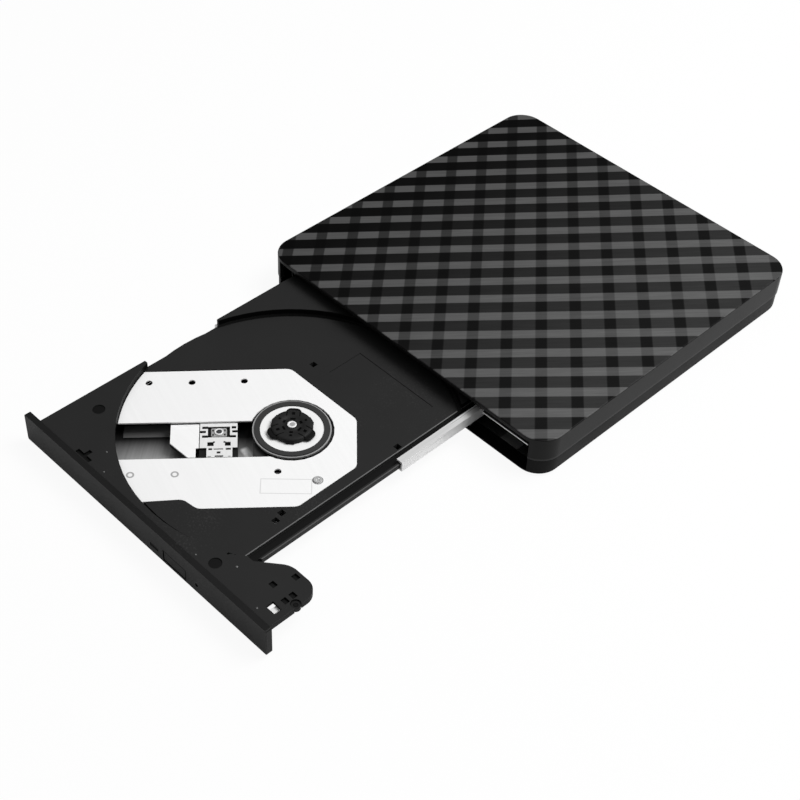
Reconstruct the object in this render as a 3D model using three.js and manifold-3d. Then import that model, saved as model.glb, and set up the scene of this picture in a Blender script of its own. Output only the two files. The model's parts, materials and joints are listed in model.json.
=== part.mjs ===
// A slim external disc drive with its tray pulled out, in millimetres, +Z up.
// The origin is at the bottom centre of the open drive's box. Inside the drive group,
// x is zero on the middle line, y is zero at the housing's front face and z at the table.
import * as THREE from "three";
import { mergeVertices } from "three/addons/utils/BufferGeometryUtils.js";
import Module from "manifold-3d";

const wasm = await Module();
wasm.setup();

// Housing: two plastic shells that meet at a parting line
const housingWidth = 144;
const housingDepth = 147;
const housingTop = 18.2;
const housingCorner = 9.5;
const housingWall = 2;
const housingRoof = 1.6;
const housingFloor = 1.2;
const partingHeight = 7.9;
const partingGap = 0.3;
const lidBevel = 0.5;
const lowerInset = 0.3;
const lowerBevel = 1;
const mouthSideGap = 1.2;
const ribThickness = 1.2;
const roofRibFromRear = 45;
const locatorLength = 20;
const locatorHeight = 4;
const locatorFromEnd = 30;
const ventCount = 7;
const ventLength = 26;
const ventWidth = 2;
const ventPitch = 6;
const ventFromRear = 34;

// Feet and shell screws
const footStand = 0.6;
const footRadius = 5.1;
const footRecess = 0.6;
const footGap = 0.1;
const footFromSide = 17;
const footFromEnd = 12;
const bossRadius = 2.2;
const bossFromSide = 4.7;
const bossFromEnd = 14;
const shellScrewRadius = 0.9;
const shellScrewHeadRadius = 1.7;
const shellScrewHead = 1;
const shellScrewLength = 9.5;
const screwHoleGap = 0.25;
const driverSlotWidth = 0.4;
const driverSlotDepth = 0.4;

// Steel chassis of the slim drive
const driveSideSpace = 8;
const chassisSetback = 1.4;
const chassisRearSpace = 18.8;
const panSetback = 4;
const chassisLift = 0.2;
const chassisHeight = 11.4;
const chassisSheet = 0.6;
const chassisGap = 0.3;
const coverNotch = 7;
const coverNotchPastTray = 8.1;
const coverScrewRadius = 1.5;
const coverScrewHead = 0.5;
const coverScrewFromSide = 6;
const coverScrewFromRear = 8;

// Tray moulding
const trayStay = 8.8;
const bezelProud = 1.2;
const bezelThickness = 2.4;
const bezelHeight = 12.1;
const bezelSeam = 0.2;
const trayHeadroom = 0.3;
const trayWall = 1.2;
const trayLeftInset = 4.9;
const trayRearGap = 1.6;
const runningGap = 0.3;
const underSheet = 0.5;
const underPlateInset = 1;
const recessSideInset = 2.6;
const recessDepth = 2.4;
const recessFloorThickness = 1.8;
const grooveWidth = 1.6;
const grooveDepth = 1.2;
const earGapFront = 17.9;
const earGapRear = 15.9;
const earGapWidth = 3;
const spindleOffset = 1;
const recessFromFront = 5.4;
const dimpleRadius = 2.3;
const dimpleDepth = 0.35;
const floorHoleSize = 2.2;
const frontSlotLength = 7.4;
const frontSlotWidth = 1.6;
const frontSlotDepth = 0.8;
const frontSlotFromMiddle = 35.5;
const arcSlotRadius = 2.1;
const arcSlotWidth = 0.8;
const arcSlotFromRight = 1;
const arcSlotFromBezel = 9.7;
const labelLength = 38;
const labelWidth = 15.5;
const labelDepth = 0.25;
const labelFromSpindle = 29.5;

// Wing of the tray, to the right behind the bezel
const wingThickness = 1.2;
const wingRimHeight = 2.5;
const wingEdgeInset = 1.9;
const wingDepth = 21.9;
const wingRootPastRail = 1.95;
const wingSlopeLength = 9.5;
const wingSlopeDrop = 7.9;
const wingCornerRadius = 5.5;
const wingBendRadius = 8;
const wingWindowWidth = 2.4;
const wingWindowLength = 2;
const wingPocketFloorShare = 0.3;
const latchWindowWidth = 4.2;
const latchWindowLength = 3;
const latchWindowFromPivot = 2;

// Bezel details
const bezelCornerRadius = 0.6;
const controlRise = 3.5;
const buttonWidth = 11.2;
const buttonHeight = 4.4;
const buttonFromMiddle = 18.3;
const buttonGap = 0.2;
const buttonTravel = 0.6;
const buttonSink = 0.1;
const buttonStemWidth = 4;
const buttonStemHeight = 1.6;
const buttonStemLength = 2.6;
const lampWidth = 3.9;
const lampHeight = 1;
const lampFromMiddle = 7.7;
const lampSink = 0.1;
const releaseHoleRadius = 0.7;
const releaseHoleFromMiddle = 29.6;

// Steel rails that telescope out with the tray
const railHeight = 4.3;
const railWidth = 2.8;
const railSheet = 0.7;
const railRearGap = 1.6;
const railLead = 36;
const railGap = 0.3;
const leftRailStandOff = 0.85;
const rightRailStandOff = 2.85;
const railBelowTop = 1.1;
const leftRailBelowTop = 4.5;
const leftRunnerInset = 1.5;
const runnerUpright = 1;
const runnerFoot = 0.8;
const guideWall = 1.2;
const guideLip = 1;
const guideFront = 22;
const guideRear = 6;
const guideLift = 0.2;

// Mechanism cover plate, round the spindle
const plateThickness = 0.6;
const plateBelowFloor = 0.2;
const plateEdgeGap = 0.3;
const plateReveal = 0.15;
const plateBendRadius = 4;
const slotInside = 4.8;
const slotOutside = 12.8;
const turntableHoleGap = 1;
const plateHoleRadius = 1.3;
const plateScrewRadius = 1.5;
const plateScrewHead = 0.4;
const plateScrewAngle = THREE.MathUtils.degToRad(338.2);
const plateArcStart = THREE.MathUtils.degToRad(199.3);
const plateArcEnd = THREE.MathUtils.degToRad(261.6);

// Traverse frame: its own axis runs outwards from the spindle, turned from the drive's x axis
const traverseAngle = THREE.MathUtils.degToRad(229.5);
const frameGap = 0.3;
const frameWall = 1.6;
const frameRear = 17;
const framePastRecess = 5.1;
const frameLeft = 13.4;
const frameRight = 23.5;
const frameBridge = 2.4;
const damperRadius = 2.6;
const damperBore = 1.1;
const damperGap = 0.15;
const damperPin = 0.9;
const lugWall = 1.5;

// Guide rods, lead screw and sled motor
const rodRadius = 1.2;
const rodGap = 0.1;
const rodRise = 2.5;
const rodSeat = 3;
const sideRodOffset = 9.6;
const mainRodOffset = 15.4;
const leadScrewRadius = 1.1;
const leadScrewOffset = 20.2;
const nutLength = 5;
const nutHeight = 2;
const motorRadius = 2.5;
const motorLength = 10.9;

// Pickup
const lensReach = 25.6;
const sledInward = 2;
const sledEndRoom = 8.9;
const sledFront = 6.6;
const sledBack = 6.8;
const sledRise = 1.2;
const sledLeft = 7.6;
const sledBelowPlate = 1.3;
const sleeveWall = 0.9;
const armThickness = 1.1;
const armLeft = 4.8;
const armLength = 10.2;
const armShort = 3.9;
const armRight = 11.3;
const armTurn = 4.3;
const armNotchLength = 1.2;
const armNotchWidth = 4.5;
const pickupGap = 0.15;
const coverThickness = 0.5;
const actuatorHeight = 0.8;
const actuatorLeft = 4.8;
const actuatorRight = 7.1;
const actuatorEndWall = 2.7;
const actuatorWindowLeft = 2.9;
const actuatorWindowRight = 2.3;
const tailLength = 9;
const tailWidth = 4.6;
const holderLength = 5.5;
const holderWidth = 4;
const holderHeight = 1;
const holderLift = 0.5;
const lensRadius = 1.5;
const lensBoreGap = 0.1;
const lensSink = 0.5;
const lensRise = 0.4;
const ribbonWidth = 6;
const ribbonThickness = 0.2;
const ribbonLength = 17;
const ribbonFromEnd = 24;
const ribbonOffset = 6.5;

// Turntable on the spindle
const turntableRadius = 14;
const turntableThickness = 0.8;
const turntableRise = 0.2;
const ringOuterRadius = 13.4;
const ringInnerRadius = 11.4;
const ringGap = 0.1;
const ringSink = 0.4;
const ringRise = 0.4;
const hubRadius = 7.4;
const hubHeight = 2.1;
const hubChamfer = 0.5;
const hubGap = 0.1;
const hubStepRadius = 3.6;
const hubStepDepth = 0.4;
const clawWidth = 3;
const clawLength = 2.6;
const clawHeight = 1.3;
const clawLift = 0.4;
const clawProud = 0.9;
const clawTravel = 0.7;
const clawGap = 0.12;
const firstClawAngle = THREE.MathUtils.degToRad(13);
const shaftRadius = 1.5;
const shaftRise = 0.1;
const shaftGap = 0.1;
const spindleMotorRadius = 11;
const spindleMotorGap = 0.4;

// Latch, roller, board and solenoid under the wing
const latchLength = 6;
const latchWidth = 2;
const latchThickness = 0.8;
const latchGap = 0.3;
const latchHook = 1.4;
const latchPivotRadius = 0.6;
const latchFromEdge = 4.6;
const latchFromBezel = 4.4;
const rollerRadius = 1.7;
const rollerProud = 0.6;
const rollerFromBezel = 12.5;
const rollerPinRadius = 0.7;
const rollerDrop = 0.6;
const rollerHeight = 1.5;
const rollerArmThickness = 0.9;
const rollerPostFromRoller = 3.4;
const rollerGap = 0.15;
const solenoidLength = 8;
const solenoidWidth = 5;
const solenoidHeight = 4;
const boardThickness = 0.8;
const boardGap = 0.3;
const wingBoardLatchGap = 2.5;
const wingBoardLength = 12.8;
const wingBoardInset = 7.5;

// Boards and connectors behind the tray and at its right
const mainBoardSetback = 38.8;
const mainBoardLift = 0.5;
const mainBoardSideGap = 0.5;
const mainBoardGuideGap = 1.75;
const sataHeight = 4.2;
const sataLength = 8;
const sataSlotHeight = 1.6;
const sataTongueHeight = 1;
const sataSideWall = 1;
const sataTongue = 3;
const sataSlotDepth = 4;
const sataPlugLength = 5;
const sataWindowGap = 0.25;
const adapterLength = 58;
const adapterWidth = 15.6;
const adapterGap = 0.3;
const socketSeat = 0.15;
const usbWidth = 12.4;
const usbHeight = 3;
const usbLength = 9;
const usbWall = 0.5;
const usbTongueHeight = 0.8;
const usbFromSide = 30;
const usbSink = 0.6;
const flexWidth = 8;
const flexThickness = 0.2;
const flexLength = 34;
const flexLift = 0.15;
const flexPlugLength = 4;
const flexPlugHeight = 1.4;

// Overrun of every cutting tool past the face it cuts
const overrun = 1;

// Shares: places and outlines that follow the size they are multiplied by
const driverSlotShare = 0.6;
const plateHoleShares = [
  [-0.849, -0.367],
  [-0.685, -0.177],
  [-0.489, 0.059],
  [0.19, -0.276],
];
const plateOutlineShares = [
  [-0.002, -0.801],
  [0.104, -0.787],
  [0.463, -0.368],
  [0.463, 0.077],
  [0.189, 0.334],
  [-0.386, 0.334],
];
const dimpleShares = [
  [-0.832, -0.738],
  [0.492, -0.976],
];
const floorHoleShares = [
  [-0.319, 0.456],
  [0.458, -0.527],
  [0.437, -0.465],
  [0.506, 0.352],
];
const wingWindowShares = [
  [0.675, 0.9],
  [0.582, 0.565],
  [0.85, 0.645],
  [0.85, 0.495],
];
const damperShares = [
  [-0.198, -0.716],
  [-0.198, 0.83],
];
const lugReachShare = 0.75;
const lensCrownShare = 0.6;
const trayRightShare = 0.265625;
const plateScrewShare = 0.42;

// Sizes that follow from the housing's width and depth
const driveWidth = housingWidth - 2 * driveSideSpace;
const mouthWidth = driveWidth + 2 * mouthSideGap;
const chassisDepth = housingDepth - chassisSetback - chassisRearSpace;
const trayTravel = chassisDepth - trayStay;
const mainBoardLength = chassisDepth - mainBoardSetback;
const recessRadius = driveWidth / 2 - recessSideInset;
const spindleSetback = recessRadius + recessFromFront;
const plateScrewFromSpindle = recessRadius * plateScrewShare;
const frameReach = recessRadius + framePastRecess;
const sledOutward = frameReach - lensReach - sledEndRoom;
const ribbonReach = frameReach - ribbonFromEnd;

// Heights, from the table up
const shellRim = partingHeight - partingGap;
const floorTop = footStand + housingFloor;
const roofUnder = housingTop - housingRoof;
const panLow = floorTop + chassisLift;
const panTop = panLow + chassisSheet;
const coverTop = panLow + chassisHeight;
const coverLow = coverTop - chassisSheet;
const trayTop = coverLow - trayHeadroom;
const recessFloor = trayTop - recessDepth;
const floorUnder = recessFloor - recessFloorThickness;
const underPlateLow = panTop + runningGap;
const underPlateTop = underPlateLow + underSheet;
const trayLow = underPlateTop + frameGap;
const plateTop = recessFloor - plateBelowFloor;
const plateLow = plateTop - plateThickness;
const wingUnder = trayTop - wingThickness;
const frameTop = floorUnder - frameGap;
const rodHeight = trayLow + rodRise;
const sledLow = trayLow + sledRise;
const sledTop = plateLow - sledBelowPlate;
const armLow = sledTop - armThickness;
const turntableTop = recessFloor + turntableRise;
const turntableLow = turntableTop - turntableThickness;
const hubLow = turntableTop + hubGap;
const hubTop = hubLow + hubHeight;
const controlHeight = panLow + controlRise;
const mainBoardLow = panTop + mainBoardLift;
const mainBoardTop = mainBoardLow + boardThickness;
const sataLow = mainBoardTop + boardGap;
const sataTop = sataLow + sataHeight;
const adapterLow = floorTop + adapterGap;
const adapterTop = adapterLow + boardThickness;
const rollerLow = trayTop - rollerDrop - rollerHeight;
const wingBoardTop = wingUnder - boardGap;
const wingBoardLow = wingBoardTop - boardThickness;

// Places along y with the tray out, and across x
const bezelFront = -(trayTravel + bezelProud);
const bezelBack = bezelFront + bezelThickness;
const trayFront = bezelBack + bezelSeam;
const chassisRear = chassisSetback + chassisDepth;
const trayRear = chassisRear - chassisSheet - trayRearGap - trayTravel;
const trayLeft = -driveWidth / 2 + trayLeftInset;
const trayRight = driveWidth * trayRightShare;
const leftRunnerWall = trayLeft + leftRunnerInset;
const spindleY = bezelFront + spindleSetback;
const wingRight = driveWidth / 2 - wingEdgeInset;
const rightRailTop = trayTop - railBelowTop;
const leftRailTop = trayTop - leftRailBelowTop;
const railLength = chassisRear - chassisSheet - railRearGap - trayTravel / 2 + railLead;
const rightRailInner = trayRight + rightRailStandOff;
const leftRailInner = -leftRunnerWall + leftRailStandOff;
const rightGuideBack = rightRailInner + railWidth + railGap + guideWall;
const sataRight = driveWidth / 2 - chassisSheet - mainBoardSideGap;
const sataLeft = rightGuideBack + mainBoardGuideGap;
const usbX = housingWidth / 2 - usbFromSide;
const latchX = wingRight - latchFromEdge;
const latchY = bezelBack + latchFromBezel;
const rollerX = wingRight - rollerRadius + rollerProud;
const rollerY = bezelBack + rollerFromBezel;

// Places along the traverse's own axis
const bayStart = spindleMotorRadius + spindleMotorGap + frameBridge;
const screwPost = lensReach + sledOutward + nutLength / 2 + frameGap;
const sledNear = lensReach - sledFront;
const sledFar = lensReach + sledBack;

// Materials
function finish(color, roughness, metalness) {
  return new THREE.MeshStandardMaterial({ color, roughness, metalness });
}
const lidPlastic = finish(0x2b2b2b, 0.35, 0);
const shellPlastic = finish(0x3a3a3a, 0.5, 0);
const trayPlastic = finish(0x2c2c2c, 0.55, 0);
const darkPlastic = finish(0x141414, 0.5, 0);
const rubber = finish(0x1d1d1d, 0.9, 0);
const steel = finish(0xc9c9c9, 0.3, 1);
const whitePlate = finish(0xf0f0f0, 0.45, 0.3);
const boardGreen = finish(0x1f5a38, 0.6, 0);
const brassTone = finish(0xb08d4a, 0.35, 1);
const lensGlass = finish(0x8fa6c8, 0.05, 0);
const ribbonGrey = finish(0x3b3b3b, 0.5, 0);

// A closed three.js geometry as a solid that can be joined and cut
function solid(geometry) {
  const bare = geometry.clone();
  bare.deleteAttribute("normal");
  bare.deleteAttribute("uv");
  const merged = mergeVertices(bare);
  return new wasm.Manifold(
    new wasm.Mesh({
      numProp: 3,
      vertProperties: new Float32Array(merged.attributes.position.array),
      triVerts: new Uint32Array(merged.index.array),
    }),
  );
}

function boxGeometry(x0, x1, y0, y1, z0, z1) {
  const box = new THREE.BoxGeometry(x1 - x0, y1 - y0, z1 - z0);
  box.translate((x0 + x1) / 2, (y0 + y1) / 2, (z0 + z1) / 2);
  return box;
}

function block(...limits) {
  return solid(boxGeometry(...limits));
}

// A block given by its limits on one side of the middle: side is 1 at the right, -1 at the left
function sideBlock(side, x0, x1, y0, y1, z0, z1) {
  const [left, right] = side > 0 ? [x0, x1] : [-x1, -x0];
  return block(left, right, y0, y1, z0, z1);
}

// An upright cylinder round x, y
function post(x, y, radius, z0, z1, sides = 20) {
  const cylinder = new THREE.CylinderGeometry(radius, radius, z1 - z0, sides);
  cylinder.rotateX(Math.PI / 2);
  cylinder.translate(x, y, (z0 + z1) / 2);
  return solid(cylinder);
}

// A cylinder along x from x0 to x1
function bar(x0, x1, y, z, radius, sides = 14) {
  const cylinder = new THREE.CylinderGeometry(radius, radius, x1 - x0, sides);
  cylinder.rotateZ(Math.PI / 2);
  cylinder.translate((x0 + x1) / 2, y, z);
  return solid(cylinder);
}

// A cylinder along y from y0 to y1
function pin(x, y0, y1, z, radius, sides = 12) {
  const cylinder = new THREE.CylinderGeometry(radius, radius, y1 - y0, sides);
  cylinder.translate(x, (y0 + y1) / 2, z);
  return solid(cylinder);
}

// A solid of revolution round the z axis: radius and height pairs, up from the axis and back to it
function turned(profile, sides) {
  const lathe = new THREE.LatheGeometry(
    profile.map(([r, z]) => new THREE.Vector2(r, z)),
    sides,
  );
  lathe.rotateX(Math.PI / 2);
  return solid(lathe);
}

function prism(outline, z0, z1, curveSegments = 4) {
  const extruded = new THREE.ExtrudeGeometry(outline, {
    depth: z1 - z0,
    bevelEnabled: false,
    curveSegments,
  });
  extruded.translate(0, 0, z0);
  return solid(extruded);
}

// A prism whose two ends are bevelled
function bevelledPrism(outline, z0, z1, bevel) {
  const extruded = new THREE.ExtrudeGeometry(outline, {
    depth: z1 - z0 - 2 * bevel,
    bevelThickness: bevel,
    bevelSize: bevel,
    bevelOffset: -bevel,
    bevelSegments: 2,
    curveSegments: 5,
  });
  extruded.translate(0, 0, z0 + bevel);
  return solid(extruded);
}

// A closed outline through corners [x, y, fillet radius], anticlockwise, with arcs at its fillets
function filleted(corners) {
  const shape = new THREE.Shape();
  corners.forEach(([x, y, radius], i) => {
    const here = new THREE.Vector2(x, y);
    const [beforeX, beforeY] = corners[(i + corners.length - 1) % corners.length];
    const [afterX, afterY] = corners[(i + 1) % corners.length];
    const back = new THREE.Vector2(beforeX, beforeY).sub(here).normalize();
    const ahead = new THREE.Vector2(afterX, afterY).sub(here).normalize();
    const half = Math.acos(THREE.MathUtils.clamp(back.dot(ahead), -1, 1)) / 2;
    const cutBack = radius / Math.tan(half);
    const start = here.clone().addScaledVector(back, cutBack);
    const end = here.clone().addScaledVector(ahead, cutBack);
    const middle = back.clone().add(ahead).normalize();
    const centre = here.clone().addScaledVector(middle, radius / Math.sin(half));
    if (i === 0) shape.moveTo(start.x, start.y);
    else shape.lineTo(start.x, start.y);
    if (radius > 0) {
      const from = Math.atan2(start.y - centre.y, start.x - centre.x);
      const to = Math.atan2(end.y - centre.y, end.x - centre.x);
      shape.absarc(centre.x, centre.y, radius, from, to, back.cross(ahead) > 0);
    }
  });
  shape.closePath();
  return shape;
}

// A rectangle with round corners
function roundRect(x0, x1, y0, y1, radius) {
  return filleted([
    [x0, y0, radius],
    [x1, y0, radius],
    [x1, y1, radius],
    [x0, y1, radius],
  ]);
}

function joined(first, ...others) {
  return others.reduce((all, next) => all.add(next), first);
}

function cut(base, ...tools) {
  return tools.reduce((left, tool) => left.subtract(tool), base);
}

// A block wider and longer than the housing, between two heights
function slice(z0, z1) {
  return block(-housingWidth, housingWidth, -housingDepth, 2 * housingDepth, z0, z1);
}

// A cross-shaped slot for a driver, between two heights
function driverSlot(x, y, headRadius, z0, z1) {
  const reach = headRadius * driverSlotShare;
  const half = driverSlotWidth / 2;
  return joined(
    block(x - reach, x + reach, y - half, y + half, z0, z1),
    block(x - half, x + half, y - reach, y + reach, z0, z1),
  );
}

// The limits of the tray's hollow underside, drawn in by an inset
function insideTray(inset, z0, z1) {
  return [
    leftRunnerWall + trayWall + inset,
    trayRight - trayWall - inset,
    trayFront + trayWall + inset,
    trayRear - trayWall - inset,
    z0,
    z1,
  ];
}

// A block with limits in the drive's frame, as the traverse's own frame sees it
function seenFromTraverse(...limits) {
  const box = boxGeometry(...limits);
  box.translate(-spindleOffset, -spindleY, 0);
  box.rotateZ(-traverseAngle);
  return solid(box);
}

// A block with limits in the traverse's own frame, placed in the drive's
function alongTraverse(...limits) {
  const box = boxGeometry(...limits);
  box.rotateZ(traverseAngle);
  box.translate(spindleOffset, spindleY, 0);
  return solid(box);
}

function fromSpindle(shares) {
  return shares.map(([x, y]) => [
    spindleOffset + x * recessRadius,
    spindleY + y * recessRadius,
  ]);
}

// The drive, the traverse turned within it, and the spindle's axis
const drive = new THREE.Group();
const traverse = new THREE.Group();
const spindle = new THREE.Group();
traverse.position.set(spindleOffset, spindleY, 0);
traverse.rotation.z = traverseAngle;
spindle.position.set(spindleOffset, spindleY, 0);
drive.add(traverse, spindle);

// Adds a solid to a group as a named mesh
function piece(name, made, material, group = drive) {
  const mesh = made.getMesh();
  const geometry = new THREE.BufferGeometry();
  geometry.setAttribute(
    "position",
    new THREE.BufferAttribute(new Float32Array(mesh.vertProperties), mesh.numProp),
  );
  geometry.setIndex(new THREE.BufferAttribute(new Uint32Array(mesh.triVerts), 1));
  geometry.computeVertexNormals();
  const node = new THREE.Mesh(geometry, material);
  node.name = name;
  group.add(node);
  return node;
}

// The four corners of the housing: the words for them, and the signs of x and of y
const corners = [
  ["front_left", -1, -1],
  ["front_right", 1, -1],
  ["rear_left", -1, 1],
  ["rear_right", 1, 1],
];

function nearCorner(sideSign, endSign, fromSide, fromEnd) {
  return [
    sideSign * (housingWidth / 2 - fromSide),
    housingDepth / 2 + endSign * (housingDepth / 2 - fromEnd),
  ];
}

function housingOutline(inset) {
  const half = housingWidth / 2 - inset;
  return roundRect(-half, half, inset, housingDepth - inset, housingCorner - inset);
}

function mouth(z0, z1) {
  return block(-mouthWidth / 2, mouthWidth / 2, -overrun, housingWall + overrun, z0, z1);
}

function topShell() {
  const lowest = partingHeight - lidBevel - overrun;
  let shell = cut(
    bevelledPrism(housingOutline(0), lowest, housingTop, lidBevel).intersect(
      slice(partingHeight, housingTop + overrun),
    ),
    prism(housingOutline(housingWall), lowest, roofUnder, 5),
    mouth(lowest, roofUnder),
  );
  const ribLow = coverTop + chassisGap;
  const ribY = housingDepth - roofRibFromRear;
  const ribTop = roofUnder + housingRoof / 2;
  const half = mouthWidth / 2;
  shell = joined(
    shell,
    block(-half, half, housingWall, housingWall + ribThickness, ribLow, ribTop),
    block(-half, half, ribY, ribY + ribThickness, ribLow, ribTop),
  );
  for (const [, side, end] of corners) {
    const [x, y] = nearCorner(side, end, bossFromSide, bossFromEnd);
    const holeTop = footStand + shellScrewHead + shellScrewLength + overrun;
    const holeRadius = shellScrewRadius + screwHoleGap;
    shell = cut(
      shell.add(post(x, y, bossRadius, partingHeight, ribTop)),
      post(x, y, holeRadius, lowest, holeTop, 12),
    );
  }
  return shell;
}

function bottomShell() {
  const usbLow = adapterTop + socketSeat;
  const usbHalf = usbWidth / 2 + chassisGap;
  const usbTop = usbLow + usbHeight + chassisGap;
  const rear = housingDepth - housingWall - overrun;
  let shell = cut(
    bevelledPrism(
      housingOutline(lowerInset),
      footStand,
      shellRim + lowerBevel + overrun,
      lowerBevel,
    ).intersect(slice(footStand - overrun, shellRim)),
    prism(housingOutline(housingWall), floorTop, shellRim + overrun, 5),
    mouth(floorTop, shellRim + overrun),
    block(usbX - usbHalf, usbX + usbHalf, rear, housingDepth + overrun, usbLow - chassisGap, usbTop),
  );
  for (const [, side, end] of corners) {
    shell = cornerWork(shell, side, end);
  }
  for (let i = 0; i < ventCount; i++) {
    const x = (i - (ventCount - 1) / 2) * ventPitch;
    const y1 = housingDepth - ventFromRear;
    const half = ventWidth / 2;
    const vent = roundRect(x - half, x + half, y1 - ventLength, y1, half);
    shell = shell.subtract(prism(vent, footStand - overrun, floorTop + overrun, 2));
  }
  return shell;
}

// A corner of the bottom shell: its screw boss, the seat of its foot and a locator for the chassis
function cornerWork(shell, side, end) {
  const [x, y] = nearCorner(side, end, bossFromSide, bossFromEnd);
  const [footX, footY] = nearCorner(side, end, footFromSide, footFromEnd);
  const [, locatorY] = nearCorner(side, end, 0, locatorFromEnd);
  const low = footStand - overrun;
  const middle = footStand + housingFloor / 2;
  const inner = driveWidth / 2 + chassisGap;
  return cut(
    joined(
      shell,
      post(x, y, bossRadius, middle, shellRim),
      sideBlock(
        side,
        inner,
        inner + ribThickness,
        locatorY - locatorLength / 2,
        locatorY + locatorLength / 2,
        middle,
        floorTop + locatorHeight,
      ),
    ),
    post(x, y, shellScrewRadius + screwHoleGap, low, shellRim + overrun, 12),
    post(x, y, shellScrewHeadRadius + screwHoleGap, low, footStand + shellScrewHead + screwHoleGap, 16),
    post(footX, footY, footRadius + footGap, low, footStand + footRecess, 24),
  );
}

function feetAndScrews() {
  for (const [where, side, end] of corners) {
    const [footX, footY] = nearCorner(side, end, footFromSide, footFromEnd);
    const footTop = footStand + footRecess - footGap;
    piece("foot_" + where, post(footX, footY, footRadius, 0, footTop, 24), rubber);
    const [x, y] = nearCorner(side, end, bossFromSide, bossFromEnd);
    const low = footStand + screwHoleGap / 2;
    const head = post(x, y, shellScrewHeadRadius, low, low + shellScrewHead, 16);
    const shank = post(x, y, shellScrewRadius, low + shellScrewHead / 2, low + shellScrewLength, 12);
    const slot = driverSlot(x, y, shellScrewHeadRadius, low - overrun, low + driverSlotDepth);
    piece("shell_screw_" + where, cut(joined(head, shank), slot), steel);
  }
}

function adapter() {
  const front = chassisRear + chassisGap;
  const board = block(
    sataRight - adapterLength,
    sataRight,
    front,
    front + adapterWidth,
    adapterLow,
    adapterTop,
  );
  piece("adapter_board", board, boardGreen);
  const middle = (sataLow + sataTop) / 2;
  const plug = joined(
    block(sataLeft, sataRight, front, front + sataPlugLength, adapterTop + socketSeat, sataTop),
    block(
      sataLeft + 2 * sataSideWall,
      sataRight - 2 * sataSideWall,
      chassisRear - sataTongue,
      front + overrun,
      middle - sataTongueHeight / 2,
      middle + sataTongueHeight / 2,
    ),
  );
  piece("sata_plug", plug, darkPlastic);
  piece("usb_socket", usbSocket(), steel);
}

function usbSocket() {
  const half = usbWidth / 2;
  const rear = housingDepth - usbSink;
  const low = adapterTop + socketSeat;
  const middle = low + usbHeight / 2;
  const shell = block(usbX - half, usbX + half, rear - usbLength, rear, low, low + usbHeight);
  const cavity = block(
    usbX - half + usbWall,
    usbX + half - usbWall,
    rear - usbLength + usbWall,
    rear + overrun,
    low + usbWall,
    low + usbHeight - usbWall,
  );
  const tongue = block(
    usbX - half + 2 * usbWall,
    usbX + half - 2 * usbWall,
    rear - usbLength + usbWall / 2,
    rear - 2 * usbWall,
    middle - usbTongueHeight / 2,
    middle + usbTongueHeight / 2,
  );
  return joined(cut(shell, cavity), tongue);
}

function chassisPan() {
  const half = driveWidth / 2;
  const wallTop = coverLow - chassisGap;
  return cut(
    block(-half, half, chassisSetback + panSetback, chassisRear, panLow, wallTop),
    block(
      -half + chassisSheet,
      half - chassisSheet,
      chassisSetback,
      chassisRear - chassisSheet,
      panTop,
      wallTop + overrun,
    ),
    block(
      sataLeft - sataWindowGap,
      sataRight + sataWindowGap,
      chassisRear - chassisSheet - overrun,
      chassisRear + overrun,
      sataLow - sataWindowGap,
      sataTop + sataWindowGap,
    ),
  );
}

function chassisCover() {
  const half = driveWidth / 2;
  return cut(
    block(-half, half, chassisSetback, chassisRear, coverLow, coverTop),
    block(
      -half - overrun,
      trayRight + coverNotchPastTray,
      chassisSetback - overrun,
      chassisSetback + coverNotch,
      coverLow - overrun,
      coverTop + overrun,
    ),
  );
}

function coverScrews() {
  const side = driveWidth / 2 - coverScrewFromSide;
  const y = chassisRear - coverScrewFromRear;
  const low = coverTop + chassisGap / 2;
  const top = low + coverScrewHead;
  for (const [where, x] of [["left", -side], ["middle", 0], ["right", side]]) {
    const slot = driverSlot(x, y, coverScrewRadius, top - driverSlotDepth, top + overrun);
    piece("cover_screw_" + where, cut(post(x, y, coverScrewRadius, low, top, 16), slot), steel);
  }
}

function mainBoard() {
  const rear = chassisRear - chassisSheet - mainBoardSideGap;
  const front = rear - mainBoardLength;
  const board = block(sataLeft, sataRight, front, rear, mainBoardLow, mainBoardTop);
  piece("main_board", board, boardGreen);
  const middle = (sataLow + sataTop) / 2;
  const socket = cut(
    block(sataLeft, sataRight, chassisRear - sataLength, chassisRear, sataLow, sataTop),
    block(
      sataLeft + sataSideWall,
      sataRight - sataSideWall,
      chassisRear - sataSlotDepth,
      chassisRear + overrun,
      middle - sataSlotHeight / 2,
      middle + sataSlotHeight / 2,
    ),
  );
  piece("sata_socket", socket, darkPlastic);
  const flexX = (sataLeft + sataRight) / 2;
  const plugHalf = flexWidth / 2 + sataSideWall;
  const plugLow = mainBoardTop + socketSeat;
  const plug = block(
    flexX - plugHalf,
    flexX + plugHalf,
    front + overrun,
    front + overrun + flexPlugLength,
    plugLow,
    plugLow + flexPlugHeight,
  );
  piece("flex_connector", plug, darkPlastic);
  const strip = block(
    flexX - flexWidth / 2,
    flexX + flexWidth / 2,
    front - flexLength,
    front - chassisGap,
    panTop + flexLift,
    panTop + flexLift + flexThickness,
  );
  piece("flex_cable", strip, ribbonGrey);
}

// The C-shaped steel rail of one side, open towards the tray, from the x of its inner edge
function rail(side, inner, top) {
  const outer = inner + railWidth;
  const rear = railLength - railLead;
  return cut(
    sideBlock(side, inner, outer, -railLead, rear, top - railHeight, top),
    sideBlock(
      side,
      inner - overrun,
      outer - railSheet,
      -railLead - overrun,
      rear + overrun,
      top - railHeight + railSheet,
      top - railSheet,
    ),
  );
}

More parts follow.
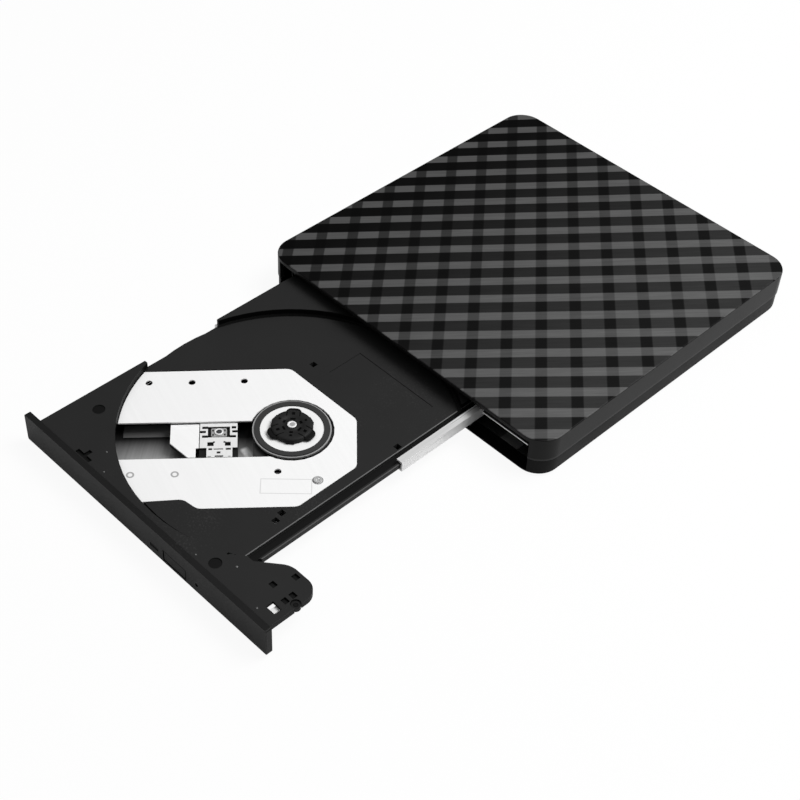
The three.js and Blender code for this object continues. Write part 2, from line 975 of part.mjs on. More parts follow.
// The runner on the tray that a rail clasps: a foot from the wall and an upright on its end
function runner(side, wall, inner, top, front) {
  const outer = inner + railWidth - railSheet - railGap;
  const low = top - railHeight + railSheet + railGap;
  const high = top - railSheet - railGap;
  return joined(
    sideBlock(side, wall - trayWall / 2, outer, front, trayRear, low, low + runnerFoot),
    sideBlock(side, outer - runnerUpright, outer, front, trayRear, low, high),
  );
}

// The plastic guide fixed in the chassis that a rail slides in
function railGuide(side, inner, top, back) {
  const face = inner + railWidth + railGap;
  const lip = face - guideLip;
  const front = chassisSetback + guideFront;
  const rear = chassisRear - chassisSheet - guideRear;
  return cut(
    sideBlock(side, lip, back, front, rear, panTop + guideLift, top + railGap + guideLip),
    sideBlock(
      side,
      lip - overrun,
      face,
      front - overrun,
      rear + overrun,
      top - railHeight - railGap,
      top + railGap,
    ),
  );
}

function railsAndGuides() {
  const leftBack = driveWidth / 2 - chassisSheet - chassisGap;
  piece("right_rail", rail(1, rightRailInner, rightRailTop), steel);
  piece("left_rail", rail(-1, leftRailInner, leftRailTop), steel);
  piece("right_rail_guide", railGuide(1, rightRailInner, rightRailTop, rightGuideBack), darkPlastic);
  piece("left_rail_guide", railGuide(-1, leftRailInner, leftRailTop, leftBack), darkPlastic);
}

function circleRound(radius) {
  const shape = new THREE.Shape();
  shape.absarc(spindleOffset, spindleY, radius, 0, 2 * Math.PI);
  return shape;
}

// The cover plate's outline: an arc round the spindle, then straight runs with round corners
function plateOutline(radius) {
  const arc = new THREE.Path();
  arc.absarc(spindleOffset, spindleY, radius, plateArcStart, plateArcEnd, false);
  const arcCorners = arc.getPoints(14).map((p) => [p.x, p.y, 0]);
  const straight = plateOutlineShares.map(([x, y]) => [
    spindleOffset + x * radius,
    spindleY + y * radius,
    plateBendRadius,
  ]);
  return filleted([...arcCorners, ...straight]);
}

// The wing's outline, drawn in by an inset at its free edges
function wingOutline(inset) {
  const right = wingRight - inset;
  const back = bezelBack + wingDepth - inset;
  const root = rightRailInner + wingRootPastRail;
  return filleted([
    [trayRight - trayWall, trayFront, 0],
    [right, trayFront, 0],
    [right, back, wingCornerRadius - inset],
    [root + wingSlopeLength, back, wingBendRadius],
    [root, back - wingSlopeDrop, 0],
    [trayRight - trayWall, back - wingSlopeDrop, 0],
  ]);
}

function wing() {
  const low = trayTop - wingRimHeight;
  const shelf = cut(
    prism(wingOutline(0), low, trayTop),
    prism(wingOutline(trayWall), low - overrun, wingUnder),
  );
  const notch = post(rollerX, rollerY, rollerRadius + rollerGap, low - overrun, trayTop + overrun);
  const armTop = rollerLow - rollerGap;
  const armLow = armTop - rollerArmThickness;
  const postX = rollerX - rollerPostFromRoller;
  const half = rollerPinRadius + rollerGap;
  return joined(
    shelf.subtract(notch),
    post(latchX, latchY, latchPivotRadius, wingBoardLow - latchGap, trayTop - wingThickness / 2, 12),
    block(postX - half, postX + half, rollerY - half, rollerY + half, armLow, wingUnder + overrun / 2),
    block(postX, rollerX, rollerY - half, rollerY + half, armLow, armTop),
    post(rollerX, rollerY, rollerPinRadius, armLow, rollerLow + rollerHeight, 12),
  );
}

function wingWindows() {
  const pocketLow = wingUnder + wingPocketFloorShare * wingThickness;
  const windows = wingWindowShares.map(([x, y]) => [
    trayRight + x * (wingRight - trayRight),
    bezelBack + y * wingDepth,
    wingWindowWidth / 2,
    wingWindowLength / 2,
    pocketLow,
  ]);
  windows.push([
    latchX,
    latchY + latchWindowFromPivot,
    latchWindowWidth / 2,
    latchWindowLength / 2,
    wingUnder - overrun / 2,
  ]);
  return windows.map(([x, y, a, b, low]) => block(x - a, x + a, y - b, y + b, low, trayTop + overrun));
}

// Everything that opens the tray from above: recess, groove, gap in the left edge, plate opening
function trayRecess() {
  const above = trayTop + overrun;
  const inner = recessRadius - grooveWidth;
  const groove = cut(
    prism(circleRound(recessRadius), recessFloor - grooveDepth, recessFloor + overrun, 36),
    prism(circleRound(inner), floorUnder, above, 36),
  );
  const earGap = cut(
    block(
      trayLeft - overrun,
      trayLeft + earGapWidth,
      spindleY - earGapFront,
      spindleY + earGapRear,
      recessFloor - grooveDepth,
      above,
    ),
    prism(circleRound(inner), floorUnder, recessFloor, 36),
  );
  return [
    prism(circleRound(recessRadius), recessFloor, above, 36),
    groove,
    earGap,
    prism(
      plateOutline(recessRadius + plateReveal),
      floorUnder - overrun,
      recessFloor + plateBelowFloor,
    ),
  ];
}

// The way of the sled, under the recess wall and the front left ear
function sledWay() {
  return alongTraverse(
    0,
    sledFar + sledOutward + armLength + overrun,
    -frameLeft,
    frameRight,
    floorUnder - overrun,
    plateLow,
  ).intersect(block(...insideTray(0, trayLow, plateTop)));
}

function trayHoles() {
  const above = trayTop + overrun;
  const half = floorHoleSize / 2;
  const dimples = fromSpindle(dimpleShares).map(([x, y]) =>
    post(x, y, dimpleRadius, trayTop - dimpleDepth, above),
  );
  const holes = fromSpindle(floorHoleShares).map(([x, y]) =>
    block(x - half, x + half, y - half, y + half, floorUnder - overrun, above),
  );
  const label = block(
    spindleOffset - labelLength / 3,
    spindleOffset + (2 * labelLength) / 3,
    spindleY + labelFromSpindle,
    spindleY + labelFromSpindle + labelWidth,
    recessFloor - labelDepth,
    above,
  );
  const slotDeep = trayTop - frontSlotDepth;
  const stemFar = trayFront + 3 * frontSlotWidth;
  const slotHalf = frontSlotWidth / 2;
  const frontSlot = joined(
    block(
      -frontSlotFromMiddle - frontSlotLength / 2,
      -frontSlotFromMiddle + frontSlotLength / 2,
      trayFront + slotHalf,
      trayFront + slotHalf + frontSlotWidth,
      slotDeep,
      above,
    ),
    block(
      -frontSlotFromMiddle - slotHalf,
      -frontSlotFromMiddle + slotHalf,
      trayFront + frontSlotWidth,
      stemFar,
      slotDeep,
      above,
    ),
  );
  const arcX = trayRight - arcSlotFromRight;
  const arcY = bezelBack + arcSlotFromBezel;
  const arcOuter = arcSlotRadius + arcSlotWidth / 2;
  const arcSlot = cut(
    post(arcX, arcY, arcOuter, slotDeep, above, 32),
    post(arcX, arcY, arcOuter - arcSlotWidth, slotDeep - overrun, above + overrun, 32),
  ).intersect(block(arcX - 2 * arcOuter, arcX, arcY, arcY + 2 * arcOuter, slotDeep, above));
  const stemHalf = buttonStemWidth / 2 + buttonGap;
  const stemRise = buttonStemHeight / 2 + buttonGap;
  const stemWindow = block(
    buttonFromMiddle - stemHalf,
    buttonFromMiddle + stemHalf,
    trayFront - overrun,
    trayFront + trayWall + overrun,
    controlHeight - stemRise,
    controlHeight + stemRise,
  );
  return [...dimples, ...holes, label, frontSlot, arcSlot, stemWindow];
}

function trayBody() {
  const underEars = cut(
    block(...insideTray(0, trayLow - overrun, wingUnder)),
    prism(circleRound(recessRadius + trayWall), trayLow - 2 * overrun, trayTop, 36),
  );
  const runnerFront = bezelBack + wingDepth - wingSlopeDrop - trayWall;
  const shell = cut(
    block(trayLeft, trayRight, trayFront, trayRear, trayLow, trayTop),
    block(
      trayLeft - overrun,
      leftRunnerWall,
      trayFront - overrun,
      trayRear + overrun,
      trayLow - overrun,
      floorUnder,
    ),
    block(...insideTray(0, trayLow - overrun, floorUnder)),
    underEars,
  );
  return cut(
    joined(
      shell,
      wing(),
      runner(1, trayRight, rightRailInner, rightRailTop, runnerFront),
      runner(-1, -leftRunnerWall, leftRailInner, leftRailTop, trayFront),
    ),
    ...trayRecess(),
    sledWay(),
    ...trayHoles(),
    ...wingWindows(),
  );
}

// The bezel, and the lens and button in its windows
function bezelWindow(x, width, height, gap) {
  return block(
    x - width / 2 - gap,
    x + width / 2 + gap,
    bezelFront - overrun,
    bezelBack + overrun,
    controlHeight - height / 2 - gap,
    controlHeight + height / 2 + gap,
  );
}

function bezel() {
  const half = driveWidth / 2;
  const slab = new THREE.ExtrudeGeometry(
    roundRect(-half, half, panLow, panLow + bezelHeight, bezelCornerRadius),
    { depth: bezelThickness, bevelEnabled: false, curveSegments: 2 },
  );
  slab.rotateX(Math.PI / 2);
  slab.translate(0, bezelBack, 0);
  return cut(
    solid(slab),
    bezelWindow(buttonFromMiddle, buttonWidth, buttonHeight, buttonGap),
    bezelWindow(lampFromMiddle, lampWidth, lampHeight, buttonGap),
    pin(
      releaseHoleFromMiddle,
      bezelFront - overrun,
      bezelBack + overrun,
      controlHeight,
      releaseHoleRadius,
    ),
  );
}

function bezelParts() {
  piece("bezel", bezel(), trayPlastic);
  const lamp = block(
    lampFromMiddle - lampWidth / 2,
    lampFromMiddle + lampWidth / 2,
    bezelFront + lampSink,
    bezelBack,
    controlHeight - lampHeight / 2,
    controlHeight + lampHeight / 2,
  );
  piece("lamp_lens", lamp, lensGlass);
  const capBack = bezelBack + bezelSeam / 2 - buttonTravel;
  const button = joined(
    block(
      buttonFromMiddle - buttonWidth / 2,
      buttonFromMiddle + buttonWidth / 2,
      bezelFront + buttonSink,
      capBack,
      controlHeight - buttonHeight / 2,
      controlHeight + buttonHeight / 2,
    ),
    block(
      buttonFromMiddle - buttonStemWidth / 2,
      buttonFromMiddle + buttonStemWidth / 2,
      capBack - buttonSink,
      capBack + buttonStemLength,
      controlHeight - buttonStemHeight / 2,
      controlHeight + buttonStemHeight / 2,
    ),
  );
  piece("eject_button", button, trayPlastic);
}

// The places of the dampers in the traverse's own frame
function damperPlaces() {
  const places = damperShares.map(([a, b]) => [a * frameReach, b * (b < 0 ? frameLeft : frameRight)]);
  places.push([lugReachShare * frameReach, -(frameLeft + damperRadius + damperGap)]);
  return places;
}

function underPlate() {
  const sheet = seenFromTraverse(
    leftRunnerWall + underPlateInset,
    trayRight - underPlateInset,
    trayFront + underPlateInset,
    trayRear - underPlateInset,
    underPlateLow,
    underPlateTop,
  );
  const pins = damperPlaces().map(([a, b]) =>
    post(a, b, damperPin, underPlateLow, frameTop, 12),
  );
  return joined(sheet, ...pins);
}

function coverPlate() {
  const above = plateTop + overrun;
  const below = plateLow - overrun;
  const holes = fromSpindle(plateHoleShares).map(([x, y]) =>
    post(x, y, plateHoleRadius, below, above, 14),
  );
  const [screwX, screwY] = plateScrewPlace(spindleOffset, spindleY, 0);
  return cut(
    prism(plateOutline(recessRadius - plateEdgeGap), plateLow, plateTop),
    alongTraverse(0, recessRadius + overrun, -slotInside, slotOutside, below, above),
    prism(circleRound(turntableRadius + turntableHoleGap), below, above, 14),
    post(screwX, screwY, shellScrewRadius + screwHoleGap, below, above, 12),
    ...holes,
  );
}

// The place of the plate's screw, round a centre and turned by an angle
function plateScrewPlace(x, y, turn) {
  const angle = plateScrewAngle - turn;
  return [
    x + plateScrewFromSpindle * Math.cos(angle),
    y + plateScrewFromSpindle * Math.sin(angle),
  ];
}

function plateScrew() {
  const [x, y] = plateScrewPlace(spindleOffset, spindleY, 0);
  const low = plateTop + pickupGap;
  const top = low + plateScrewHead;
  return cut(
    joined(
      post(x, y, plateScrewRadius, low, top, 16),
      post(x, y, shellScrewRadius, frameTop - recessFloorThickness, top, 12),
    ),
    driverSlot(x, y, plateScrewRadius, top - plateScrewHead / 2, top + overrun),
  );
}

function traverseFrame() {
  const low = trayLow - overrun;
  const high = frameTop + overrun;
  const inset = frameGap + frameWall;
  const [screwA, screwB] = plateScrewPlace(0, 0, traverseAngle);
  const screwPostRadius = shellScrewRadius + screwHoleGap + frameWall;
  const walls = cut(
    block(-frameRear, frameReach, -frameLeft, frameRight, trayLow, frameTop).intersect(
      seenFromTraverse(...insideTray(frameGap, low, high)),
    ),
    block(
      bayStart,
      frameReach - frameWall,
      -frameLeft + frameWall,
      frameRight - frameWall,
      low,
      high,
    ).intersect(seenFromTraverse(...insideTray(inset, low, high))),
  );
  const lugs = damperPlaces().map(([a, b]) =>
    post(a, b, damperRadius + damperGap + lugWall, trayLow, frameTop, 18),
  );
  const seats = damperPlaces().map(([a, b]) =>
    post(a, b, damperRadius + damperGap, low, high, 18),
  );
  const motorTop = leadScrewOffset + motorRadius + pickupGap;
  return cut(
    joined(
      walls,
      lugs[2],
      post(screwA, screwB, screwPostRadius, trayLow, frameTop, 16),
      block(
        screwA - frameWall,
        screwA + frameWall,
        Math.min(frameRight, screwB) - frameWall,
        screwB,
        trayLow,
        frameTop,
      ),
      block(
        screwPost,
        screwPost + frameWall,
        leadScrewOffset - leadScrewRadius - pickupGap,
        frameRight - frameWall / 2,
        trayLow,
        frameTop,
      ),
    ),
    ...seats,
    post(0, 0, spindleMotorRadius + spindleMotorGap, low, high, 28),
    post(screwA, screwB, shellScrewRadius + screwHoleGap, low, high, 12),
    bar(bayStart - rodSeat, frameReach + overrun, -sideRodOffset, rodHeight, rodRadius + rodGap),
    bar(bayStart - rodSeat, frameReach + overrun, mainRodOffset, rodHeight, rodRadius + rodGap),
    bar(bayStart, frameReach, leadScrewOffset, rodHeight, leadScrewRadius + rodGap),
    block(
      bayStart - motorLength - 2 * frameGap,
      bayStart + overrun,
      leadScrewOffset - motorRadius - pickupGap,
      motorTop,
      low,
      high,
    ),
    block(
      frameReach - frameWall - overrun,
      frameReach + overrun,
      -(armLeft + frameWall),
      armRight + frameWall,
      armLow - frameGap,
      high,
    ),
  );
}

function rodsAndDrive() {
  const from = bayStart - rodSeat + rodGap;
  const to = frameReach - frameGap;
  piece("side_rod", bar(from, to, -sideRodOffset, rodHeight, rodRadius), steel, traverse);
  piece("main_rod", bar(from, to, mainRodOffset, rodHeight, rodRadius), steel, traverse);
  const motorEnd = bayStart - frameGap;
  const motor = bar(motorEnd - motorLength, motorEnd, leadScrewOffset, rodHeight, motorRadius, 16);
  piece("sled_motor", motor, steel, traverse);
  const screw = bar(
    motorEnd + frameGap,
    screwPost + frameWall - rodGap,
    leadScrewOffset,
    rodHeight,
    leadScrewRadius,
  );
  piece("lead_screw", screw, brassTone, traverse);
  damperPlaces().forEach(([a, b], i) => {
    const damper = cut(
      post(a, b, damperRadius, trayLow, frameTop, 18),
      post(a, b, damperBore, trayLow - overrun, frameTop + overrun, 12),
    );
    piece("rubber_damper_" + (i + 1), damper, rubber, traverse);
  });
  const ribbonLow = underPlateTop + frameGap;
  const ribbon = block(
    ribbonReach,
    ribbonReach + ribbonLength,
    -ribbonOffset - ribbonWidth / 2,
    -ribbonOffset + ribbonWidth / 2,
    ribbonLow,
    ribbonLow + ribbonThickness,
  );
  piece("pickup_ribbon", ribbon, ribbonGrey, traverse);
}

// The arm of the sled that carries its cover: the outline from a reach outwards
function armOutline(start) {
  const far = sledFar + armLength;
  return filleted([
    [start, -armLeft, 0],
    [far, -armLeft, 0],
    [far, armTurn, 0],
    [sledFar + armShort, armRight, 0],
    [sledFar + armNotchLength, armRight, 0],
    [sledFar + armNotchLength, armRight - armNotchWidth, 0],
    [start, armRight - armNotchWidth, 0],
  ]);
}

function pickupSled() {
  const sleeve = rodRadius + rodGap + sleeveWall;
  const nutHalf = nutLength / 2;
  const sleeveLow = Math.max(rodHeight - sleeve, trayLow + frameGap);
  const body = joined(
    block(sledNear, sledFar, -sledLeft, mainRodOffset + sleeve, sledLow, sledTop),
    block(sledNear, sledFar, mainRodOffset - sleeve, mainRodOffset + sleeve, sleeveLow, sledTop),
    block(
      lensReach - nutHalf,
      lensReach + nutHalf,
      -(sideRodOffset + rodRadius + pickupGap),
      -sledLeft + overrun,
      sleeveLow,
      sledTop,
    ),
    prism(armOutline(sledFar - overrun), armLow, sledTop),
    block(
      lensReach - nutHalf,
      lensReach + nutHalf,
      mainRodOffset + sleeve - overrun,
      leadScrewOffset - leadScrewRadius - pickupGap,
      rodHeight - nutHeight / 2,
      rodHeight + nutHeight / 2,
    ),
  );
  return cut(
    body,
    bar(sledNear - overrun, sledFar + overrun, -sideRodOffset, rodHeight, rodRadius + rodGap),
    bar(sledNear - overrun, sledFar + overrun, mainRodOffset, rodHeight, rodRadius + rodGap),
  );
}

function actuator() {
  const low = sledTop + pickupGap;
  const top = low + actuatorHeight;
  const near = sledNear + pickupGap;
  const far = sledFar - pickupGap;
  return joined(
    cut(
      block(near, far, -actuatorLeft, actuatorRight, low, top),
      block(
        near + actuatorEndWall,
        far - actuatorEndWall,
        -actuatorWindowLeft,
        actuatorWindowRight,
        low - overrun,
        top + overrun,
      ),
    ),
    block(
      lensReach - tailLength / 2,
      lensReach + tailLength / 2,
      actuatorRight - overrun,
      actuatorRight + tailWidth,
      low,
      top,
    ),
  );
}

function lensParts() {
  const low = sledTop + holderLift;
  const top = low + holderHeight;
  const holder = cut(
    block(
      lensReach - holderLength / 2,
      lensReach + holderLength / 2,
      -holderWidth / 2,
      holderWidth / 2,
      low,
      top,
    ),
    post(lensReach, 0, lensRadius + lensBoreGap, top - lensSink, top + overrun),
  );
  piece("lens_holder", holder, darkPlastic, traverse);
  const base = top - lensSink + lensBoreGap;
  const lens = turned(
    [
      [0, base],
      [lensRadius, base],
      [lensRadius, top],
      [lensRadius / 2, top + lensRise * lensCrownShare],
      [0, top + lensRise],
    ],
    20,
  );
  piece("objective_lens", lens, lensGlass, traverse).position.x = lensReach;
}

function pickup() {
  piece("pickup_sled", pickupSled(), steel, traverse);
  const coverBottom = sledTop + pickupGap;
  const cover = prism(armOutline(sledFar + pickupGap), coverBottom, coverBottom + coverThickness);
  piece("pickup_cover", cover, whitePlate, traverse);
  piece("actuator_frame", actuator(), steel, traverse);
  lensParts();
}

function ringPiece(outer, inner, z0, z1, sides) {
  return cut(
    post(0, 0, outer, z0, z1, sides),
    post(0, 0, inner, z0 - overrun, z1 + overrun, sides),
  );
}

function turntable() {
  const shaftBore = post(0, 0, shaftRadius + shaftGap, turntableLow - overrun, hubTop + overrun, 14);
  const groove = ringPiece(
    ringOuterRadius + ringGap,
    ringInnerRadius - ringGap,
    turntableTop - ringSink - ringGap,
    turntableTop + overrun,
    40,
  );
  return cut(post(0, 0, turntableRadius, turntableLow, turntableTop, 40), shaftBore, groove);
}

function hub() {
  const chamfered = hubRadius - hubChamfer;
  const body = turned(
    [
      [0, hubLow],
      [hubRadius, hubLow],
      [hubRadius, hubTop - hubChamfer],
      [chamfered, hubTop],
      [hubStepRadius + hubStepDepth, hubTop],
      [hubStepRadius, hubTop - hubStepDepth],
      [0, hubTop - hubStepDepth],
    ],
    30,
  );
  const slots = clawAngles().map((angle) => {
    const half = clawWidth / 2 + clawGap;
    const slot = boxGeometry(
      hubRadius + clawProud - clawLength - clawTravel - clawGap,
      hubRadius + overrun,
      -half,
      half,
      hubLow + clawLift - clawGap,
      hubTop + overrun,
    );
    slot.rotateZ(angle);
    return solid(slot);
  });
  const shaftBore = post(0, 0, shaftRadius + shaftGap, hubLow - overrun, hubTop + overrun, 14);
  return cut(body, ...slots, shaftBore);
}

function clawAngles() {
  return [0, 1, 2].map((i) => firstClawAngle + (i * 2 * Math.PI) / 3);
}

function spinningParts() {
  piece("turntable", turntable(), steel, spindle);
  const ringLow = turntableTop - ringSink;
  const pad = ringPiece(ringOuterRadius, ringInnerRadius, ringLow, turntableTop + ringRise, 40);
  piece("turntable_ring", pad, rubber, spindle);
  piece("spindle_hub", hub(), darkPlastic, spindle);
  const shaft = post(0, 0, shaftRadius, trayLow + frameGap, hubTop + shaftRise, 14);
  piece("spindle_shaft", shaft, steel, spindle);
  clawAngles().forEach((angle, i) => {
    const outer = hubRadius + clawProud;
    const low = hubLow + clawLift;
    const claw = block(
      outer - clawLength,
      outer,
      -clawWidth / 2,
      clawWidth / 2,
      low,
      low + clawHeight,
    );
    piece("hub_claw_" + (i + 1), claw, darkPlastic, spindle).rotation.z = angle;
  });
  const motor = cut(
    post(0, 0, spindleMotorRadius, trayLow, turntableLow - frameGap, 28),
    post(0, 0, shaftRadius + shaftGap, trayLow + frameGap / 2, turntableTop, 14),
  );
  piece("spindle_motor", motor, steel, spindle);
}

// The latch's steel hook, round the pivot that the wing carries
function latch() {
  const half = latchWidth / 2;
  const top = wingUnder - latchGap;
  const low = top - latchThickness;
  const far = latchY + latchLength - latchFromBezel / 3;
  return cut(
    joined(
      block(latchX - half, latchX + half, latchY - half - pickupGap, far, low, top),
      block(latchX, latchX + half + latchHook, far - half, far, low, top),
    ),
    post(latchX, latchY, latchPivotRadius + rollerGap, low - overrun, top + overrun, 12),
  );
}

function underWing() {
  const left = trayRight + wingBoardInset;
  const front = trayFront + trayWall;
  const board = block(
    left,
    latchX - latchWidth / 2 - wingBoardLatchGap,
    front,
    front + wingBoardLength,
    wingBoardLow,
    wingBoardTop,
  );
  piece("wing_board", board, boardGreen);
  const coilTop = wingBoardLow - boardGap;
  const coil = block(
    left + trayWall,
    left + trayWall + solenoidLength,
    front + solenoidWidth / 2,
    front + solenoidWidth / 2 + solenoidWidth,
    coilTop - solenoidHeight,
    coilTop,
  );
  piece("latch_solenoid", coil, brassTone);
  piece("latch_hook", latch(), steel);
  const roller = cut(
    post(rollerX, rollerY, rollerRadius, rollerLow, rollerLow + rollerHeight, 20),
    post(rollerX, rollerY, rollerPinRadius + rollerGap, rollerLow - overrun, trayTop, 12),
  );
  piece("guide_roller", roller, darkPlastic);
}

piece("top_shell", topShell(), lidPlastic);
piece("bottom_shell", bottomShell(), shellPlastic);
feetAndScrews();
adapter();
piece("chassis_pan", chassisPan(), steel);
piece("chassis_cover", chassisCover(), steel);
coverScrews();
mainBoard();
railsAndGuides();
piece("tray_body", trayBody(), trayPlastic);
bezelParts();
piece("under_plate", underPlate(), steel, traverse);
piece("cover_plate", coverPlate(), whitePlate);
piece("plate_screw", plateScrew(), steel);
piece("traverse_frame", traverseFrame(), steel, traverse);
rodsAndDrive();
pickup();
spinningParts();
underWing();

const part = new THREE.Group();
drive.position.y = -(housingDepth + bezelFront) / 2;
part.add(drive);

export default part;
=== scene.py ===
"""A slim external disc drive with its tray out: the finished look round the CAD model, in metres."""
import json
import math

import bmesh
import bpy
import numpy as np
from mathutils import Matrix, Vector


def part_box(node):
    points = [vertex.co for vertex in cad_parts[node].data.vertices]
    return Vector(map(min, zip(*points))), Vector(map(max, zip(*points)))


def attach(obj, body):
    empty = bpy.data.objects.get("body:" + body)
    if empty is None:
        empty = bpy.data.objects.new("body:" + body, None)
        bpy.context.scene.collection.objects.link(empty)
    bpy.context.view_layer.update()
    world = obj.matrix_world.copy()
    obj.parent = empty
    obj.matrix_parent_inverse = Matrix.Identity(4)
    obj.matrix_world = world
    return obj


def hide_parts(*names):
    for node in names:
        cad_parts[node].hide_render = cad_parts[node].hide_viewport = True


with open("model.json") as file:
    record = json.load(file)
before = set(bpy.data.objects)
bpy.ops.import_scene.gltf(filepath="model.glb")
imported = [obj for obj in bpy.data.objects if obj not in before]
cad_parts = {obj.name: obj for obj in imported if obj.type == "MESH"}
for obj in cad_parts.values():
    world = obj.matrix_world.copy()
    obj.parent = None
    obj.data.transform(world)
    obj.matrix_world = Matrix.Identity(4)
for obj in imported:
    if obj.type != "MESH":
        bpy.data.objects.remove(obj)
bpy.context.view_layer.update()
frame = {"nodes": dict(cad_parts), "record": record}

MM = 0.001
# Sharpness of a mask's edge: it goes from 0 to 1 over 1 / sharpness metres
SHARP, CRISP, ROUNDED, SOFT = 20000.0, 9000.0, 8000.0, 900.0
SPINDLE = np.array(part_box("spindle_shaft")).mean(0)
TRAVERSE_ANGLE = math.radians(229.5)
OUTWARD = np.array([math.cos(TRAVERSE_ANGLE), math.sin(TRAVERSE_ANGLE)])
ACROSS = np.array([-math.sin(TRAVERSE_ANGLE), math.cos(TRAVERSE_ANGLE)])
LID_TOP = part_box("top_shell")[1].z
LID_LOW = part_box("top_shell")[0].z
TRAY_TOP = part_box("tray_body")[1].z
DRIVE_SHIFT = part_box("top_shell")[0].y / MM
FIRST_CLAW = math.radians(13)
TRAY_RIGHT = 34 * MM
CHANNEL_MIDDLE = 35.85 * MM
CHANNEL_HALF = 1.78 * MM
RECESS_FLOOR = TRAY_TOP - 2.4 * MM
RUNNER_EDGE = 38.5 * MM
RUNNER_TOP = TRAY_TOP - 2.1 * MM


# Meshes

def mesh_piece(name, points, faces, body, material, smooth=True):
    """A piece at the origin from an array of points and a list of faces, riding on a body."""
    mesh = bpy.data.meshes.new(name)
    mesh.from_pydata(np.asarray(points, float).tolist(), [], [list(f) for f in faces])
    mesh.validate()
    if smooth:
        mesh.shade_smooth()
    piece = bpy.data.objects.new(name, mesh)
    bpy.context.collection.objects.link(piece)
    mesh.materials.append(material)
    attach(piece, body)
    return piece


def grid_faces(rows, columns, close_rows=False, close_columns=False, start=0):
    """Quads between neighbours of a grid of points stored row by row; either way can close on itself."""
    r = np.arange(rows if close_rows else rows - 1)
    c = np.arange(columns if close_columns else columns - 1)
    i, j = (a.ravel() for a in np.meshgrid(r, c, indexing="ij"))
    i2, j2 = (i + 1) % rows, (j + 1) % columns
    quads = np.stack([i * columns + j, i * columns + j2, i2 * columns + j2, i2 * columns + j], 1)
    return (quads + start).tolist()


def turned_surface(profile, sides=48, centre=(0.0, 0.0)):
    """Points and faces of a turned shape: radius r(t) and height z(t) of a profile that starts and ends
    on the axis are carried round it."""
    r, z = np.asarray(profile, float).T
    angle = np.linspace(0, 2 * math.pi, sides, endpoint=False)
    ring_r, ring_z = r[1:-1], z[1:-1]
    x = centre[0] + ring_r[:, None] * np.cos(angle)[None]
    y = centre[1] + ring_r[:, None] * np.sin(angle)[None]
    h = np.repeat(ring_z[:, None], sides, 1)
    points = np.stack([x, y, h], -1).reshape(-1, 3)
    rows = len(ring_r)
    faces = grid_faces(rows, sides, close_columns=True)
    low, high = len(points), len(points) + 1
    points = np.vstack([points, [centre[0], centre[1], z[0]], [centre[0], centre[1], z[-1]]])
    nxt = (np.arange(sides) + 1) % sides
    faces += np.stack([np.full(sides, low), nxt, np.arange(sides)], 1).tolist()
    top = (rows - 1) * sides
    faces += np.stack([np.full(sides, high), top + np.arange(sides), top + nxt], 1).tolist()
    return points, faces


def ring_surface(radius, thickness, height, z, sides=64, bulge=12, centre=(0.0, 0.0)):
    """A torus of oval section: radius + thickness cos(v) round the axis, z + height sin(v) up it."""
    u = np.linspace(0, 2 * math.pi, sides, endpoint=False)
    v = np.linspace(0, 2 * math.pi, bulge, endpoint=False)
    r = radius + thickness * np.cos(v)[None]
    x = centre[0] + r * np.cos(u)[:, None]
    y = centre[1] + r * np.sin(u)[:, None]
    h = np.broadcast_to(z + height * np.sin(v)[None], x.shape)
    return np.stack([x, y, h], -1).reshape(-1, 3), grid_faces(sides, bulge, True, True)


def rounded_outline(width, length, corner, steps=5):
    """Corner arcs of a rectangle round the origin, anticlockwise, as one closed line of points."""
    turn = np.linspace(0, math.pi / 2, steps)
    parts = []
    for k, (sx, sy) in enumerate(((1, 1), (-1, 1), (-1, -1), (1, -1))):
        a = turn + k * math.pi / 2
        cx, cy = sx * (width / 2 - corner), sy * (length / 2 - corner)
        parts.append(np.stack([cx + corner * np.cos(a), cy + corner * np.sin(a)], 1))
    return np.vstack(parts)


def slab_surface(outline, z0, z1, bevel):
    """A flat slab: the outline carried up through a side and two rounded edges, which draw it in by
    bevel (1 - cos) while it climbs bevel sin, and closed by a fan at each end."""
    outline = np.asarray(outline, float)
    ahead = np.roll(outline, -1, 0) - outline
    behind = outline - np.roll(outline, 1, 0)
    tangent = sum(side / np.linalg.norm(side, axis=1)[:, None] for side in (ahead, behind))
    normal = np.stack([tangent[:, 1], -tangent[:, 0]], 1)
    normal /= np.linalg.norm(normal, axis=1)[:, None]
    t = np.linspace(0, math.pi / 2, 4)
    inset = np.concatenate([bevel * (1 - np.sin(t)), bevel * (1 - np.cos(t))])
    height = np.concatenate([z0 + bevel * (1 - np.cos(t)), z1 - bevel * (1 - np.sin(t))])
    rings = outline[None] - inset[:, None, None] * normal[None]
    z = np.repeat(height[:, None], len(outline), 1)
    points = np.concatenate([rings, z[..., None]], -1).reshape(-1, 3)
    count, rows = len(outline), len(height)
    faces = grid_faces(rows, count, close_columns=True)
    faces.append(list(range(count))[::-1])
    faces.append(list(range((rows - 1) * count, rows * count)))
    return points, faces


